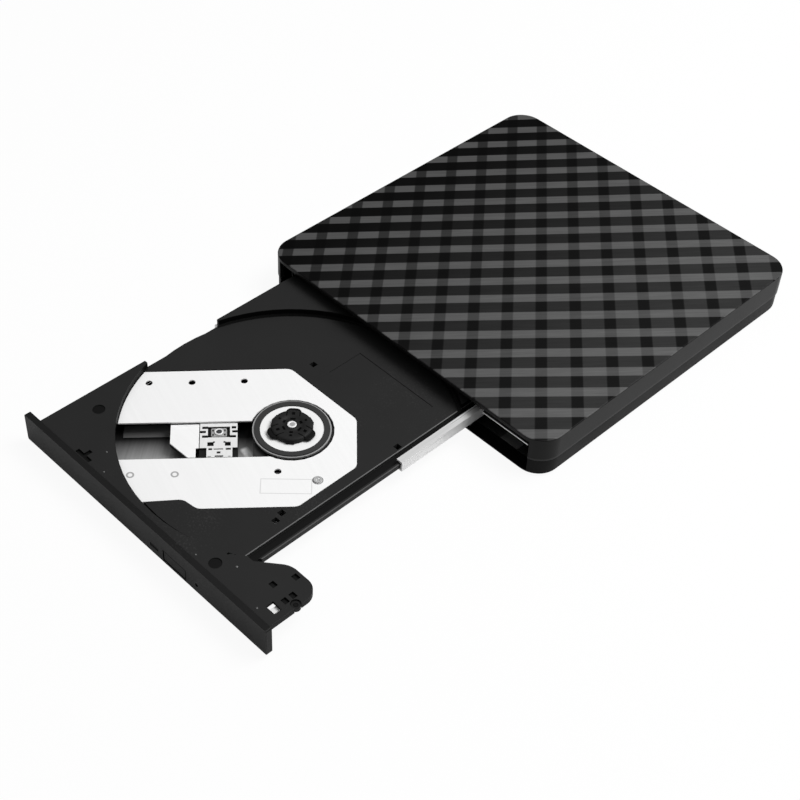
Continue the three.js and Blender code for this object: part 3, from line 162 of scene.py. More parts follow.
def punched_surface(a_lines, b_lines, kept, z0, z1):
    """A stamped sheet on a grid of cells: each kept cell has a top and a bottom, and a wall stands
    wherever a kept cell meets a punched one."""
    a, b, kept = np.asarray(a_lines, float), np.asarray(b_lines, float), np.asarray(kept, bool)
    na, nb = len(a), len(b)
    flat = np.stack(np.meshgrid(a, b, indexing="ij"), -1).reshape(-1, 2)
    points = np.vstack([np.c_[flat, np.full(na * nb, z)] for z in (z0, z1)])
    up = na * nb
    i, j = np.nonzero(kept)
    base = i * nb + j
    quad = np.stack([base, base + nb, base + nb + 1, base + 1], 1)
    faces = (quad + up).tolist() + quad[:, ::-1].tolist()
    framed = np.pad(kept, 1)
    for di, dj, p, q in ((-1, 0, 0, 1), (1, 0, nb + 1, nb), (0, -1, nb, 0), (0, 1, 1, nb + 1)):
        edge = kept & ~framed[1 + di:na + di, 1 + dj:nb + dj]
        i, j = np.nonzero(edge)
        base = i * nb + j
        faces += np.stack([base + p, base + q, base + q + up, base + p + up], 1)[:, ::-1].tolist()
    used = np.zeros(len(points), bool)
    used[np.unique(np.array(faces))] = True
    index = np.cumsum(used) - 1
    return points[used], index[np.array(faces)].tolist()


def on_traverse(points):
    """Points given outwards along the sled's way, across it and up, placed in the drive's frame."""
    points = np.asarray(points, float)
    flat = SPINDLE[:2] + points[:, :1] * OUTWARD + points[:, 1:2] * ACROSS
    return np.c_[flat, points[:, 2]]


def moved(points, x=0.0, y=0.0, turn=0.0):
    """Points turned about the upright axis and carried by x and y."""
    points = np.asarray(points, float)
    c, s = math.cos(turn), math.sin(turn)
    return np.c_[
        x + c * points[:, 0] - s * points[:, 1], y + s * points[:, 0] + c * points[:, 1], points[:, 2]
    ]


def combined(*surfaces):
    """Several closed surfaces as one array of points and one list of faces."""
    points, faces, start = [], [], 0
    for p, f in surfaces:
        points.append(np.asarray(p, float))
        faces += [[i + start for i in face] for face in f]
        start += len(p)
    return np.vstack(points), faces


def softened(node, body, material, width, segments=2, angle=40):
    """A CAD node's shape with its sharp edges rounded: a merged copy with a bevel, which replaces it."""
    mesh = frame["nodes"][node].data.copy()
    shape = bmesh.new()
    shape.from_mesh(mesh)
    bmesh.ops.remove_doubles(shape, verts=shape.verts, dist=1e-6)
    bmesh.ops.dissolve_limit(
        shape, angle_limit=math.radians(0.5), verts=shape.verts, edges=shape.edges, delimit=set()
    )
    shape.to_mesh(mesh)
    shape.free()
    mesh.materials.clear()
    mesh.materials.append(material)
    mesh.shade_smooth()
    piece = bpy.data.objects.new(node + "_finished", mesh)
    bpy.context.collection.objects.link(piece)
    bevel = piece.modifiers.new("round_edges", "BEVEL")
    bevel.width = width * MM
    bevel.segments = segments
    bevel.limit_method = "ANGLE"
    bevel.angle_limit = math.radians(angle)
    bevel.miter_outer = "MITER_ARC"
    weighted = piece.modifiers.new("flat_faces_stay_flat", "WEIGHTED_NORMAL")
    weighted.keep_sharp = True
    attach(piece, body)
    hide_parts(node)
    return piece


# Finishes

def new_group(name, inputs, outputs):
    """A shader node group: inputs and outputs are (name, kind, default) and (name, kind)."""
    group = bpy.data.node_groups.new(name, "ShaderNodeTree")
    for label, kind, value in inputs:
        socket = group.interface.new_socket(label, in_out="INPUT", socket_type="NodeSocket" + kind)
        if value is not None:
            socket.default_value = value
    for label, kind in outputs:
        group.interface.new_socket(label, in_out="OUTPUT", socket_type="NodeSocket" + kind)
    return group, group.nodes.new("NodeGroupInput"), group.nodes.new("NodeGroupOutput")


def math_node(tree, operation, first, second=None, clamp=False):
    """The output of a Math node; each operand is a number or another node's output."""
    node = tree.nodes.new("ShaderNodeMath")
    node.operation = operation
    node.use_clamp = clamp
    for i, value in enumerate((first, second)):
        if value is None:
            continue
        if isinstance(value, (int, float)):
            node.inputs[i].default_value = value
        else:
            tree.links.new(value, node.inputs[i])
    return node.outputs[0]


def weighted_sum(tree, first, first_share, second, second_share):
    """The sum of two values, each times its own share."""
    one = math_node(tree, "MULTIPLY", first, first_share)
    return math_node(tree, "ADD", one, math_node(tree, "MULTIPLY", second, second_share))


def blend_colours(tree, share, first, second):
    """From the first colour to the second as the share goes from 0 to 1."""
    node = tree.nodes.new("ShaderNodeMix")
    node.data_type = "RGBA"
    for socket, value in ((node.inputs[0], share), (node.inputs[6], first), (node.inputs[7], second)):
        if isinstance(value, (int, float, tuple)):
            socket.default_value = value
        else:
            tree.links.new(value, socket)
    return node.outputs[2]


def noise_node(tree, vector, scale, detail=3.0, roughness=0.55):
    """The level of a noise texture over a vector."""
    node = tree.nodes.new("ShaderNodeTexNoise")
    node.inputs["Detail"].default_value = detail
    node.inputs["Roughness"].default_value = roughness
    tree.links.new(vector, node.inputs["Vector"])
    if isinstance(scale, (int, float)):
        node.inputs["Scale"].default_value = scale
    else:
        tree.links.new(scale, node.inputs["Scale"])
    return node.outputs["Fac"]


def grain_group():
    """Moulded grain: fine noise as a height, with broad and fine noise as a change of tone and gloss."""
    group, given, made = new_group(
        "moulded_grain",
        [("Vector", "Vector", None), ("Grain Scale", "Float", 2600.0), ("Patch Scale", "Float", 45.0)],
        [("Height", "Float"), ("Tone", "Float"), ("Gloss Change", "Float")],
    )
    fine = noise_node(group, given.outputs["Vector"], given.outputs["Grain Scale"], 2.0)
    broad = noise_node(group, given.outputs["Vector"], given.outputs["Patch Scale"], 4.0)
    group.links.new(fine, made.inputs["Height"])
    tone = weighted_sum(group, broad, 0.7, fine, 0.3)
    group.links.new(tone, made.inputs["Tone"])
    change = math_node(group, "SUBTRACT", broad, 0.5)
    group.links.new(change, made.inputs["Gloss Change"])
    return group


def brushed_group():
    """Brushed lines: noise drawn out along one direction of a turned vector, as height and tone."""
    group, given, made = new_group(
        "brushed_lines",
        [("Vector", "Vector", None), ("Angle", "Float", 0.0), ("Scale", "Float", 900.0),
         ("Stretch", "Float", 0.03)],
        [("Height", "Float"), ("Tone", "Float")],
    )
    turn = group.nodes.new("ShaderNodeVectorRotate")
    turn.rotation_type = "Z_AXIS"
    group.links.new(given.outputs["Vector"], turn.inputs["Vector"])
    group.links.new(given.outputs["Angle"], turn.inputs["Angle"])
    parts = group.nodes.new("ShaderNodeSeparateXYZ")
    group.links.new(turn.outputs[0], parts.inputs[0])
    drawn = group.nodes.new("ShaderNodeCombineXYZ")
    stretched = math_node(group, "MULTIPLY", parts.outputs[0], given.outputs["Stretch"])
    group.links.new(stretched, drawn.inputs[0])
    group.links.new(parts.outputs[1], drawn.inputs[1])
    group.links.new(parts.outputs[2], drawn.inputs[2])
    lines = noise_node(group, drawn.outputs[0], given.outputs["Scale"], 3.0, 0.6)
    broad = noise_node(group, given.outputs["Vector"], 60.0, 3.0)
    group.links.new(lines, made.inputs["Height"])
    tone = weighted_sum(group, lines, 0.75, broad, 0.25)
    group.links.new(tone, made.inputs["Tone"])
    return group


def dust_group():
    """Fine dust and scuffs: thresholded noise at two sizes, a mask from 0 to 1."""
    group, given, made = new_group(
        "fine_dust", [("Vector", "Vector", None), ("Amount", "Float", 0.3)], [("Mask", "Float")]
    )
    specks = noise_node(group, given.outputs["Vector"], 1500.0, 1.0)
    patch = noise_node(group, given.outputs["Vector"], 30.0, 3.0)
    both = math_node(group, "MULTIPLY", specks, patch)
    sharp = math_node(group, "SUBTRACT", both, 0.36)
    grown = math_node(group, "MULTIPLY", sharp, 9.0, clamp=True)
    group.links.new(math_node(group, "MULTIPLY", grown, given.outputs["Amount"]), made.inputs["Mask"])
    return group


def band_group():
    """A family of slightly bowed stripes over the lid: with u and v from -1 to 1 over the lid's half side,
    the count of periods is (u cos n + v sin n) spacing + start + bow, and the mask is 1 where it lies
    within half a share of a whole number."""
    group, given, made = new_group(
        "lid_band",
        [(label, "Float", value) for label, value in (
            ("U", 0.0), ("V", 0.0), ("Normal Angle", 0.0), ("Spacing", 6.0), ("Start", 0.0),
            ("Bow U", 0.0), ("Bow Both", 0.0), ("Bow V", 0.0), ("Half Share", 0.2))],
        [("Mask", "Float")],
    )
    g = given.outputs

    def times(first, second):
        return math_node(group, "MULTIPLY", first, second)

    def plus(first, second):
        return math_node(group, "ADD", first, second)

    flat = plus(times(g["U"], math_node(group, "COSINE", g["Normal Angle"])),
                times(g["V"], math_node(group, "SINE", g["Normal Angle"])))
    bow = plus(plus(times(times(g["U"], g["U"]), g["Bow U"]), times(times(g["U"], g["V"]), g["Bow Both"])),
               times(times(g["V"], g["V"]), g["Bow V"]))
    count = plus(plus(times(flat, g["Spacing"]), g["Start"]), bow)
    wave = math_node(group, "FRACT", plus(count, 0.5))
    away = math_node(group, "ABSOLUTE", math_node(group, "SUBTRACT", wave, 0.5))
    inside = math_node(group, "SUBTRACT", g["Half Share"], away)
    group.links.new(math_node(group, "ADD", times(inside, 30.0), 0.5, clamp=True), made.inputs["Mask"])
    return group


def polar_group():
    """Distance from the spindle, and the distances along and across the nearest of three equal arms."""
    group, given, made = new_group(
        "round_the_spindle",
        [("Vector", "Vector", None), ("First Arm", "Float", 0.0)],
        [("Radius", "Float"), ("Along", "Float"), ("Across", "Float")],
    )
    parts = group.nodes.new("ShaderNodeSeparateXYZ")
    group.links.new(given.outputs["Vector"], parts.inputs[0])
    x = math_node(group, "SUBTRACT", parts.outputs[0], float(SPINDLE[0]))
    y = math_node(group, "SUBTRACT", parts.outputs[1], float(SPINDLE[1]))
    square = math_node(group, "ADD", math_node(group, "MULTIPLY", x, x), math_node(group, "MULTIPLY", y, y))
    radius = math_node(group, "SQRT", square)
    angle = math_node(group, "SUBTRACT", math_node(group, "ARCTAN2", y, x), given.outputs["First Arm"])
    turns = math_node(group, "DIVIDE", angle, 2 * math.pi / 3)
    wrapped = math_node(group, "FRACT", math_node(group, "ADD", turns, 3.5))
    local = math_node(group, "MULTIPLY", math_node(group, "SUBTRACT", wrapped, 0.5), 2 * math.pi / 3)
    group.links.new(radius, made.inputs["Radius"])
    for label, kind in (("Along", "COSINE"), ("Across", "SINE")):
        share = math_node(group, kind, local)
        group.links.new(math_node(group, "MULTIPLY", radius, share), made.inputs[label])
    return group


def outline_group():
    """The outline of a turned rectangle, or of a circle, drawn as a thin line: mask 1 on the line."""
    group, given, made = new_group(
        "drawn_outline",
        [("Vector", "Vector", None)] + [(label, "Float", value) for label, value in (
            ("Centre X", 0.0), ("Centre Y", 0.0), ("Angle", 0.0), ("Half Width", 0.01),
            ("Half Length", 0.01), ("Line", 0.0001), ("Round", 0.0))],
        [("Mask", "Float")],
    )
    g = given.outputs

    def step(kind, first, second=None, clamp=False):
        return math_node(group, kind, first, second, clamp)

    parts = group.nodes.new("ShaderNodeSeparateXYZ")
    group.links.new(g["Vector"], parts.inputs[0])
    x = step("SUBTRACT", parts.outputs[0], g["Centre X"])
    y = step("SUBTRACT", parts.outputs[1], g["Centre Y"])
    c, n = step("COSINE", g["Angle"]), step("SINE", g["Angle"])
    along = step("ABSOLUTE", step("ADD", step("MULTIPLY", x, c), step("MULTIPLY", y, n)))
    across = step("ABSOLUTE", step("SUBTRACT", step("MULTIPLY", y, c), step("MULTIPLY", x, n)))
    past_width = step("SUBTRACT", along, g["Half Width"])
    square = step("MAXIMUM", past_width, step("SUBTRACT", across, g["Half Length"]))
    far = step("SQRT", step("ADD", step("MULTIPLY", along, along), step("MULTIPLY", across, across)))
    circle = step("SUBTRACT", far, g["Half Width"])
    flat = step("MULTIPLY", square, step("SUBTRACT", 1.0, g["Round"]))
    edge = step("ABSOLUTE", step("ADD", flat, step("MULTIPLY", circle, g["Round"])))
    near = step("SUBTRACT", 1.5, step("DIVIDE", edge, g["Line"]), clamp=True)
    group.links.new(near, made.inputs["Mask"])
    return group


GRAIN = grain_group()
BRUSHED = brushed_group()
DUST = dust_group()
BAND = band_group()
POLAR = polar_group()
OUTLINE = outline_group()


class Finish:
    """A material in the making: its tree, its shader and the Object coordinates of its surface."""

    def __init__(self, name, roughness=0.5, metallic=0.0, specular=0.5, coat=0.0):
        self.material = bpy.data.materials.new(name)
        self.material.use_nodes = True
        self.tree = self.material.node_tree
        self.tree.nodes.clear()
        self.shader = self.tree.nodes.new("ShaderNodeBsdfPrincipled")
        out = self.tree.nodes.new("ShaderNodeOutputMaterial")
        self.link(self.shader.outputs[0], out.inputs["Surface"])
        self.shader.inputs["Roughness"].default_value = roughness
        self.shader.inputs["Metallic"].default_value = metallic
        self.shader.inputs["Specular IOR Level"].default_value = specular
        self.shader.inputs["Coat Weight"].default_value = coat
        self.shader.inputs["Coat Roughness"].default_value = 0.1
        self.place = self.tree.nodes.new("ShaderNodeTexCoord").outputs["Object"]

    def link(self, output, socket):
        self.tree.links.new(output, socket)

    def effect(self, group, **values):
        node = self.tree.nodes.new("ShaderNodeGroup")
        node.node_tree = group
        if "Vector" in node.inputs:
            self.link(self.place, node.inputs["Vector"])
        for label, value in values.items():
            socket = node.inputs[label.replace("_", " ")]
            if isinstance(value, (int, float)):
                socket.default_value = value
            else:
                self.link(value, socket)
        return node.outputs

    def maths(self, operation, first, second=None, clamp=False):
        return math_node(self.tree, operation, first, second, clamp)

    def blend(self, share, first, second):
        return blend_colours(self.tree, share, first, second)

    def above(self, length, sharpness=SHARP):
        """A mask from a length in metres: 0 up to 0, and 1 from 1 / sharpness on."""
        return self.maths("MULTIPLY", length, sharpness, clamp=True)

    def within(self, output, middle, half, sharpness=SHARP):
        """A mask that is 1 where the output lies less than half away from the middle."""
        away = self.maths("ABSOLUTE", self.maths("SUBTRACT", output, middle))
        return self.above(self.maths("SUBTRACT", half, away), sharpness)

    def axes(self):
        """The surface point's x, y and z."""
        parts = self.tree.nodes.new("ShaderNodeSeparateXYZ")
        self.link(self.place, parts.inputs[0])
        return parts.outputs

    def bump(self, height, strength, depth_mm):
        node = self.tree.nodes.new("ShaderNodeBump")
        node.inputs["Strength"].default_value = strength
        node.inputs["Distance"].default_value = depth_mm * MM
        self.link(height, node.inputs["Height"])
        self.link(node.outputs[0], self.shader.inputs["Normal"])

    def colour(self, output):
        self.link(output, self.shader.inputs["Base Color"])

    def rough(self, base, change, size):
        """Roughness as base + change times size."""
        scaled = self.maths("MULTIPLY", change, size)
        self.link(self.maths("ADD", scaled, base, clamp=True), self.shader.inputs["Roughness"])


def grey(value, warm=0.0):
    """A near-neutral colour from its linear level; warm above 0 lifts the red and drops the blue."""
    return (value * (1 + warm), value, value * (1 - warm), 1.0)


def moulded(name, low, high, roughness, grain=0.25, depth=0.02, specular=0.3, dust=0.02, scale=2600.0):
    """Moulded plastic or rubber: tone between two greys, grain in the gloss and the height, faint dust."""
    f = Finish(name, roughness, specular=specular)
    g = f.effect(GRAIN, Grain_Scale=scale)
    plain = f.blend(g["Tone"], grey(low), grey(high))
    if dust > 0:
        d = f.effect(DUST, Amount=dust)
        plain = f.blend(d["Mask"], plain, grey(0.5, 0.01))
    f.colour(plain)
    f.rough(roughness, g["Gloss Change"], 0.25)
    f.bump(g["Height"], grain, depth)
    return f.material


def brushed_metal(name, low, high, roughness, angle=0.0, depth=0.01, warm=0.0, scale=900.0, metallic=1.0):
    """Rolled or brushed metal: tone and gloss follow lines drawn out along the angle in degrees."""
    f = Finish(name, roughness, metallic=metallic)
    b = f.effect(BRUSHED, Angle=math.radians(angle), Scale=scale)
    f.colour(f.blend(b["Tone"], grey(low, warm), grey(high, warm)))
    f.rough(roughness - 0.1, b["Tone"], 0.2)
    f.bump(b["Height"], 0.3, depth)
    return f.material


def tray_finish():
    """The tray: matt black plastic, with painted shade that blackens the walls of its recess, its slots and
    pockets and the deep groove by its right side, and painted highlights on its right edges."""
    f = Finish("tray_plastic", 0.55, specular=0.16)
    g = f.effect(GRAIN, Grain_Scale=2600.0)
    d = f.effect(DUST, Amount=0.02)
    x, _, z = f.axes()
    # Painted shade: surfaces lying about 0.2 to 2.3 mm below the tray's top, the walls of the recess, slots
    # and pockets, are coloured near black
    painted_recess_shade = f.within(z, TRAY_TOP - 1.25 * MM, 1.02 * MM)
    low = f.above(f.maths("SUBTRACT", TRAY_TOP - 1.5 * MM, z))
    # Painted shade in the deep groove by the tray's right side, below 1.5 mm under the top
    painted_channel_shade = f.maths("MULTIPLY", f.within(x, CHANNEL_MIDDLE, CHANNEL_HALF), low)
    painted_recess_shade = f.maths("MAXIMUM", painted_recess_shade, painted_channel_shade)
    # Painted highlights: a pale line along the tray's right top edge and a half-strength one along the
    # runner's top edge
    edge, rim = (f.maths("MULTIPLY", f.within(x, side, width), f.within(z, level, height))
                 for side, width, level, height in (
                     (TRAY_RIGHT, 0.35 * MM, RECESS_FLOOR, 0.35 * MM),
                     (RUNNER_EDGE, 0.3 * MM, RUNNER_TOP, 0.4 * MM)))
    edge = f.maths("MAXIMUM", edge, f.maths("MULTIPLY", rim, 0.5))
    plain = f.blend(g["Tone"], grey(0.013), grey(0.017))
    plain = f.blend(d["Mask"], plain, grey(0.5, 0.01))
    # Where the painted shade mask is 1 the colour is near black
    plain = f.blend(painted_recess_shade, plain, grey(0.001))
    # The painted edge highlights are blended in as a pale grey
    f.colour(f.blend(edge, plain, grey(0.14)))
    f.rough(0.55, g["Gloss Change"], 0.25)
    f.bump(g["Height"], 0.35, 0.03)
    return f.material


def bezel_finish():
    """The bezel and its button: black plastic, with the dark gaps round the button and the lamp's lens."""
    f = Finish("bezel_plastic", 0.45, specular=0.14)
    g = f.effect(GRAIN, Grain_Scale=2600.0)
    d = f.effect(DUST, Amount=0.02)
    place = f.axes()

    def outside(name):
        """How far a point of the front lies outside a piece's rectangle, below 0 inside it."""
        low, high = np.array(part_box(name))
        past = []
        for i in (0, 2):
            away = f.maths("ABSOLUTE", f.maths("SUBTRACT", place[i], float((low + high)[i] / 2)))
            past.append(f.maths("SUBTRACT", away, float((high - low)[i] / 2)))
        return f.maths("MAXIMUM", *past)

    gap = f.maths("ABSOLUTE", f.maths("SUBTRACT", outside("eject_button"), 0.1 * MM))
    dark = f.maths("MAXIMUM", *(
        f.above(f.maths("SUBTRACT", reach, distance), CRISP)
        for reach, distance in ((0.3 * MM, gap), (0.25 * MM, outside("lamp_lens")))))
    plain = f.blend(g["Tone"], grey(0.006), grey(0.010))
    plain = f.blend(d["Mask"], plain, grey(0.5, 0.01))
    f.colour(f.blend(dark, plain, grey(0.0005)))
    matt = f.maths("MULTIPLY", dark, 0.5)
    f.rough(0.45, f.maths("ADD", matt, f.maths("MULTIPLY", g["Gloss Change"], 0.25)), 1.0)
    groove = f.maths("SUBTRACT", f.maths("MULTIPLY", g["Height"], 0.1), dark)
    f.bump(groove, 0.3, 0.2)
    return f.material


def under_plate_finish():
    """The steel sheet under the pickup's way: brushed, with a painted shadow on one side that fades to
    painted light on the other, and a pale painted highlight on a wedge by the turntable."""
    f = Finish("under_plate_steel", 0.4)
    b = f.effect(BRUSHED, Angle=math.radians(50.0), Scale=900.0)
    place = f.axes()
    # Painted shadow and light: across the sheet the colour goes from near black on one side to a lit pale
    # grey on the other, standing in for the shadow of the slot's edge
    x, y = (f.maths("MULTIPLY", f.maths("SUBTRACT", place[i], float(SPINDLE[i])), float(ACROSS[i]))
            for i in (0, 1))
    over = f.maths("ADD", f.maths("ADD", x, y), 3.0 * MM)
    share = f.maths("DIVIDE", over, 14.0 * MM, clamp=True)
    low, high = (f.blend(share, grey(a), grey(c)) for a, c in ((0.003, 0.34), (0.02, 0.75)))
    # Painted highlight: a pale patch on a wedge by the turntable where the sloped sheet catches the light
    near = f.effect(POLAR, First_Arm=TRAVERSE_ANGLE + math.radians(30))
    painted_wedge_highlight = f.maths("MULTIPLY", f.within(near["Along"], 16.1 * MM, 1.8 * MM, SOFT),
                  f.within(near["Across"], -2.0 * MM, 5.0 * MM, SOFT))
    f.colour(f.blend(painted_wedge_highlight, f.blend(b["Tone"], low, high), grey(0.8)))
    # The painted highlight patch is made less metallic so its pale colour shows
    f.link(f.maths("SUBTRACT", 0.6, painted_wedge_highlight, clamp=True), f.shader.inputs["Metallic"])
    f.rough(0.35, b["Tone"], 0.2)
    f.bump(b["Height"], 0.3, 0.01)
    return f.material


# The lid's pattern, over the half side of its flat top
LID_HALF = 60 * MM
LID_MIDDLE = np.array(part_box("top_shell")).mean(0)
LIGHT_BANDS = {"Normal_Angle": math.radians(-39.7), "Spacing": 60 / 10.086, "Start": 0.705,
               "Bow_U": -0.104, "Bow_Both": 0.045, "Bow_V": 0.044, "Half_Share": 0.213}
DARK_BANDS = {"Normal_Angle": math.radians(41.7), "Spacing": 60 / 12.72, "Start": 0.698,
              "Bow_U": -0.077, "Bow_Both": -0.098, "Bow_V": -0.028, "Half_Share": 0.17}


def lid_bands():
    """The lid: two families of crossing bands on its flat top, brightened towards its right side by painted
    light, and plain moulded plastic on its sides with a painted highlight along their lower edge.
    """
    f = Finish("lid_bands", 0.4, specular=0.08)
    place = f.axes()
    top = f.above(f.maths("SUBTRACT", place[2], LID_TOP - 0.35 * MM), ROUNDED)
    u, v = (f.maths("DIVIDE", f.maths("SUBTRACT", place[i], float(LID_MIDDLE[i])), LID_HALF)
            for i in (0, 1))
    light = f.effect(BAND, U=u, V=v, **LIGHT_BANDS)
    dark = f.effect(BAND, U=u, V=v, **DARK_BANDS)
    g = f.effect(GRAIN, Grain_Scale=3200.0)
    fine = f.effect(BRUSHED, Angle=-LIGHT_BANDS["Normal_Angle"] + math.pi / 2, Scale=1400.0, Stretch=0.05)
    # Painted light: every band colour grows lighter from the lid's left side to its right
    across = f.maths("ADD", f.maths("MULTIPLY", u, 0.5), 0.5, clamp=True)
    light_plain, light_crossed, dark_plain, dark_crossed = (
        f.blend(across, grey(left), grey(right))
        for left, right in ((0.066, 0.094), (0.018, 0.062), (0.001, 0.026), (0.0002, 0.005)))
    in_light = f.blend(dark["Mask"], light_plain, light_crossed)
    in_dark = f.blend(dark["Mask"], dark_plain, dark_crossed)
    bands = f.blend(light["Mask"], in_dark, in_light)
    shaded = f.blend(fine["Tone"], grey(0.6), grey(1.4))
    lined = f.tree.nodes.new("ShaderNodeMix")
    lined.data_type = "RGBA"
    lined.blend_type = "MULTIPLY"
    lined.inputs[0].default_value = 1.0
    f.link(bands, lined.inputs[6])
    f.link(shaded, lined.inputs[7])
    side = f.blend(g["Tone"], grey(0.008), grey(0.014))
    # Painted highlight: a paler line along the lower edge of the lid's sides
    painted_side_highlight = f.above(f.maths("SUBTRACT", LID_LOW + 0.9 * MM, place[2]), CRISP)
    side = f.blend(painted_side_highlight, side, grey(0.03))
    f.colour(f.blend(top, side, lined.outputs[2]))
    matt = f.maths("MULTIPLY", f.maths("MULTIPLY", light["Mask"], top), 0.12)
    f.rough(0.36, f.maths("ADD", matt, f.maths("MULTIPLY", g["Gloss Change"], 0.1)), 1.0)
    relief = f.maths("ADD", f.maths("MULTIPLY", fine["Height"], 0.5), g["Height"])
    f.bump(relief, 0.12, 0.01)
    return f.material


LID = lid_bands()
SHELL = moulded("housing_plastic", 0.001, 0.003, 0.45, specular=0.08, dust=0.0)
TRAY = tray_finish()
BEZEL = bezel_finish()
BLACK = moulded("mechanism_black", 0.004, 0.008, 0.5, specular=0.2, dust=0.0)
CLAW = moulded("claw_black", 0.004, 0.008, 0.4, specular=0.06, dust=0.0)
RUBBER = moulded("foot_rubber", 0.012, 0.02, 0.85, grain=0.4, depth=0.04, specular=0.2, scale=1800.0)
RING_RUBBER = moulded("ring_rubber", 0.030, 0.040, 0.8, grain=0.3, specular=0.15, dust=0.0)
RIBBON = moulded("ribbon_film", 0.075, 0.10, 0.35, grain=0.1, specular=0.4, dust=0.0)
BOARD = moulded("circuit_board", 0.03, 0.05, 0.45, grain=0.2, specular=0.4, dust=0.0)
RAIL = brushed_metal("rail_steel", 0.62, 0.92, 0.3, angle=90.0, metallic=0.45)
SHEET = brushed_metal("chassis_sheet", 0.45, 0.62, 0.38, angle=90.0)
WHITE = brushed_metal("pickup_cover_finish", 0.80, 0.90, 0.5, angle=0.0, metallic=0.0, depth=0.004)
PICKUP = brushed_metal("pickup_silver", 0.70, 0.88, 0.45, angle=50.0, metallic=0.15)
SCREW = brushed_metal("screw_steel", 0.55, 0.75, 0.35, angle=0.0, metallic=0.6)
SEAT = moulded("lens_seat", 0.25, 0.4, 0.45, grain=0.1, dust=0.0)
PIN = moulded("tray_pin", 0.10, 0.16, 0.4, grain=0.1, dust=0.0)
COPPER = brushed_metal("copper_winding", 0.35, 0.5, 0.35, warm=0.45)
BRASS = brushed_metal("screw_brass", 0.4, 0.5, 0.3, warm=0.3)
UNDER = under_plate_finish()
# Painted shade: a darkened copy of the brushed steel for the frame, the chassis pan and the spindle motor
# deep inside the drive
SHADE_DARKENED_STEEL = brushed_metal("steel_darkened_as_shade", 0.05, 0.10, 0.5, angle=30.0)


def turntable_finish():
    """The turntable: a white inner face, then steel with fine turned rings."""
    f = Finish("turntable_face", 0.3, metallic=0.0)
    p = f.effect(POLAR)
    rings = f.tree.nodes.new("ShaderNodeTexNoise")
    rings.noise_dimensions = "1D"
    f.link(f.maths("MULTIPLY", p["Radius"], 9000.0), rings.inputs["W"])
    rings.inputs["Scale"].default_value = 1.0
    outside = f.above(f.maths("SUBTRACT", p["Radius"], 11.4 * MM))
    face = f.blend(rings.outputs[0], grey(0.76), grey(0.88))
    steel = f.blend(rings.outputs[0], grey(0.45), grey(0.62))
    f.colour(f.blend(outside, face, steel))
    f.link(f.maths("MULTIPLY", outside, 0.7), f.shader.inputs["Metallic"])
    f.rough(0.42, rings.outputs[0], -0.15)
    f.bump(rings.outputs[0], 0.15, 0.005)
    return f.material


def hub_finish():
    """The hub: black plastic, with painted shade in the slits beside its arms and in the pits in and
    between them, and a moulded step.
    """
    f = Finish("hub_face", 0.42, specular=0.06)
    arm = f.effect(POLAR, First_Arm=FIRST_CLAW)
    between = f.effect(POLAR, First_Arm=FIRST_CLAW + math.pi / 3)
    g = f.effect(GRAIN, Grain_Scale=2600.0)

    def painted_pit_shade(place, reach, half_along, half_across):
        along = f.maths("ABSOLUTE", f.maths("SUBTRACT", place["Along"], reach * MM))
        along = f.maths("SUBTRACT", half_along * MM, along)
        across = f.maths("SUBTRACT", half_across * MM, f.maths("ABSOLUTE", place["Across"]))
        return f.above(f.maths("MINIMUM", along, across), CRISP)

    # Painted shade: the slits and pits are drawn as near-black marks on the cap, not cut into it
    beside = f.maths("ABSOLUTE", f.maths("SUBTRACT", f.maths("ABSOLUTE", arm["Across"]), 2.3 * MM))
    painted_slit_shade = f.maths("SUBTRACT", 0.24 * MM, beside)
    marks = f.above(f.maths("MINIMUM", painted_slit_shade, f.maths("SUBTRACT", arm["Along"], 4.2 * MM)), CRISP)
    for place, reach, half_along, half_across in (
            (arm, 3.2, 0.45, 1.0), (arm, 5.5, 0.7, 0.6),
            (between, 3.4, 0.5, 0.7), (between, 5.3, 0.5, 0.5)):
        marks = f.maths("MAXIMUM", marks, painted_pit_shade(place, reach, half_along, half_across))
    plain = f.blend(g["Tone"], grey(0.013), grey(0.021))
    # The slits and pits get a near-black painted shade
    f.colour(f.blend(marks, plain, grey(0.0002)))
    f.rough(0.42, g["Gloss Change"], 0.2)
    f.bump(f.maths("SUBTRACT", f.maths("MULTIPLY", g["Height"], 0.05), marks), 0.6, 0.25)
    return f.material


def plate_finish():
    """The cover plate: white with a faint drawn label outline and two pressed rings."""
    f = Finish("cover_plate_face", 0.5)
    b = f.effect(BRUSHED, Angle=0.3, Scale=700.0)
    marks = f.effect(OUTLINE, Centre_X=19.75 * MM, Centre_Y=(-71.82 + DRIVE_SHIFT) * MM,
                     Angle=math.radians(-43.3), Half_Width=3.3 * MM, Half_Length=8.7 * MM,
                     Line=0.16 * MM)["Mask"]
    marks = f.maths("MULTIPLY", marks, 0.3)
    for x, y in ((-19.77, -107.57), (-9.86, -96.2)):
        ring = f.effect(OUTLINE, Centre_X=x * MM, Centre_Y=(y + DRIVE_SHIFT) * MM,
                        Half_Width=1.1 * MM, Line=0.3 * MM, Round=1.0)
        marks = f.maths("MAXIMUM", marks, f.maths("MULTIPLY", ring["Mask"], 0.7))
    screw = np.array(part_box("plate_screw")).mean(0)
    rim = f.effect(OUTLINE, Centre_X=float(screw[0]), Centre_Y=float(screw[1]),
                   Half_Width=1.75 * MM, Line=0.18 * MM, Round=1.0)
    marks = f.maths("MAXIMUM", marks, f.maths("MULTIPLY", rim["Mask"], 0.9))
    plain = f.blend(b["Tone"], grey(0.80), grey(0.88))
    f.colour(f.blend(marks, plain, grey(0.12)))
    f.rough(0.45, b["Tone"], 0.1)
    f.bump(f.maths("SUBTRACT", f.maths("MULTIPLY", b["Height"], 0.05), marks), 0.3, 0.05)
    return f.material


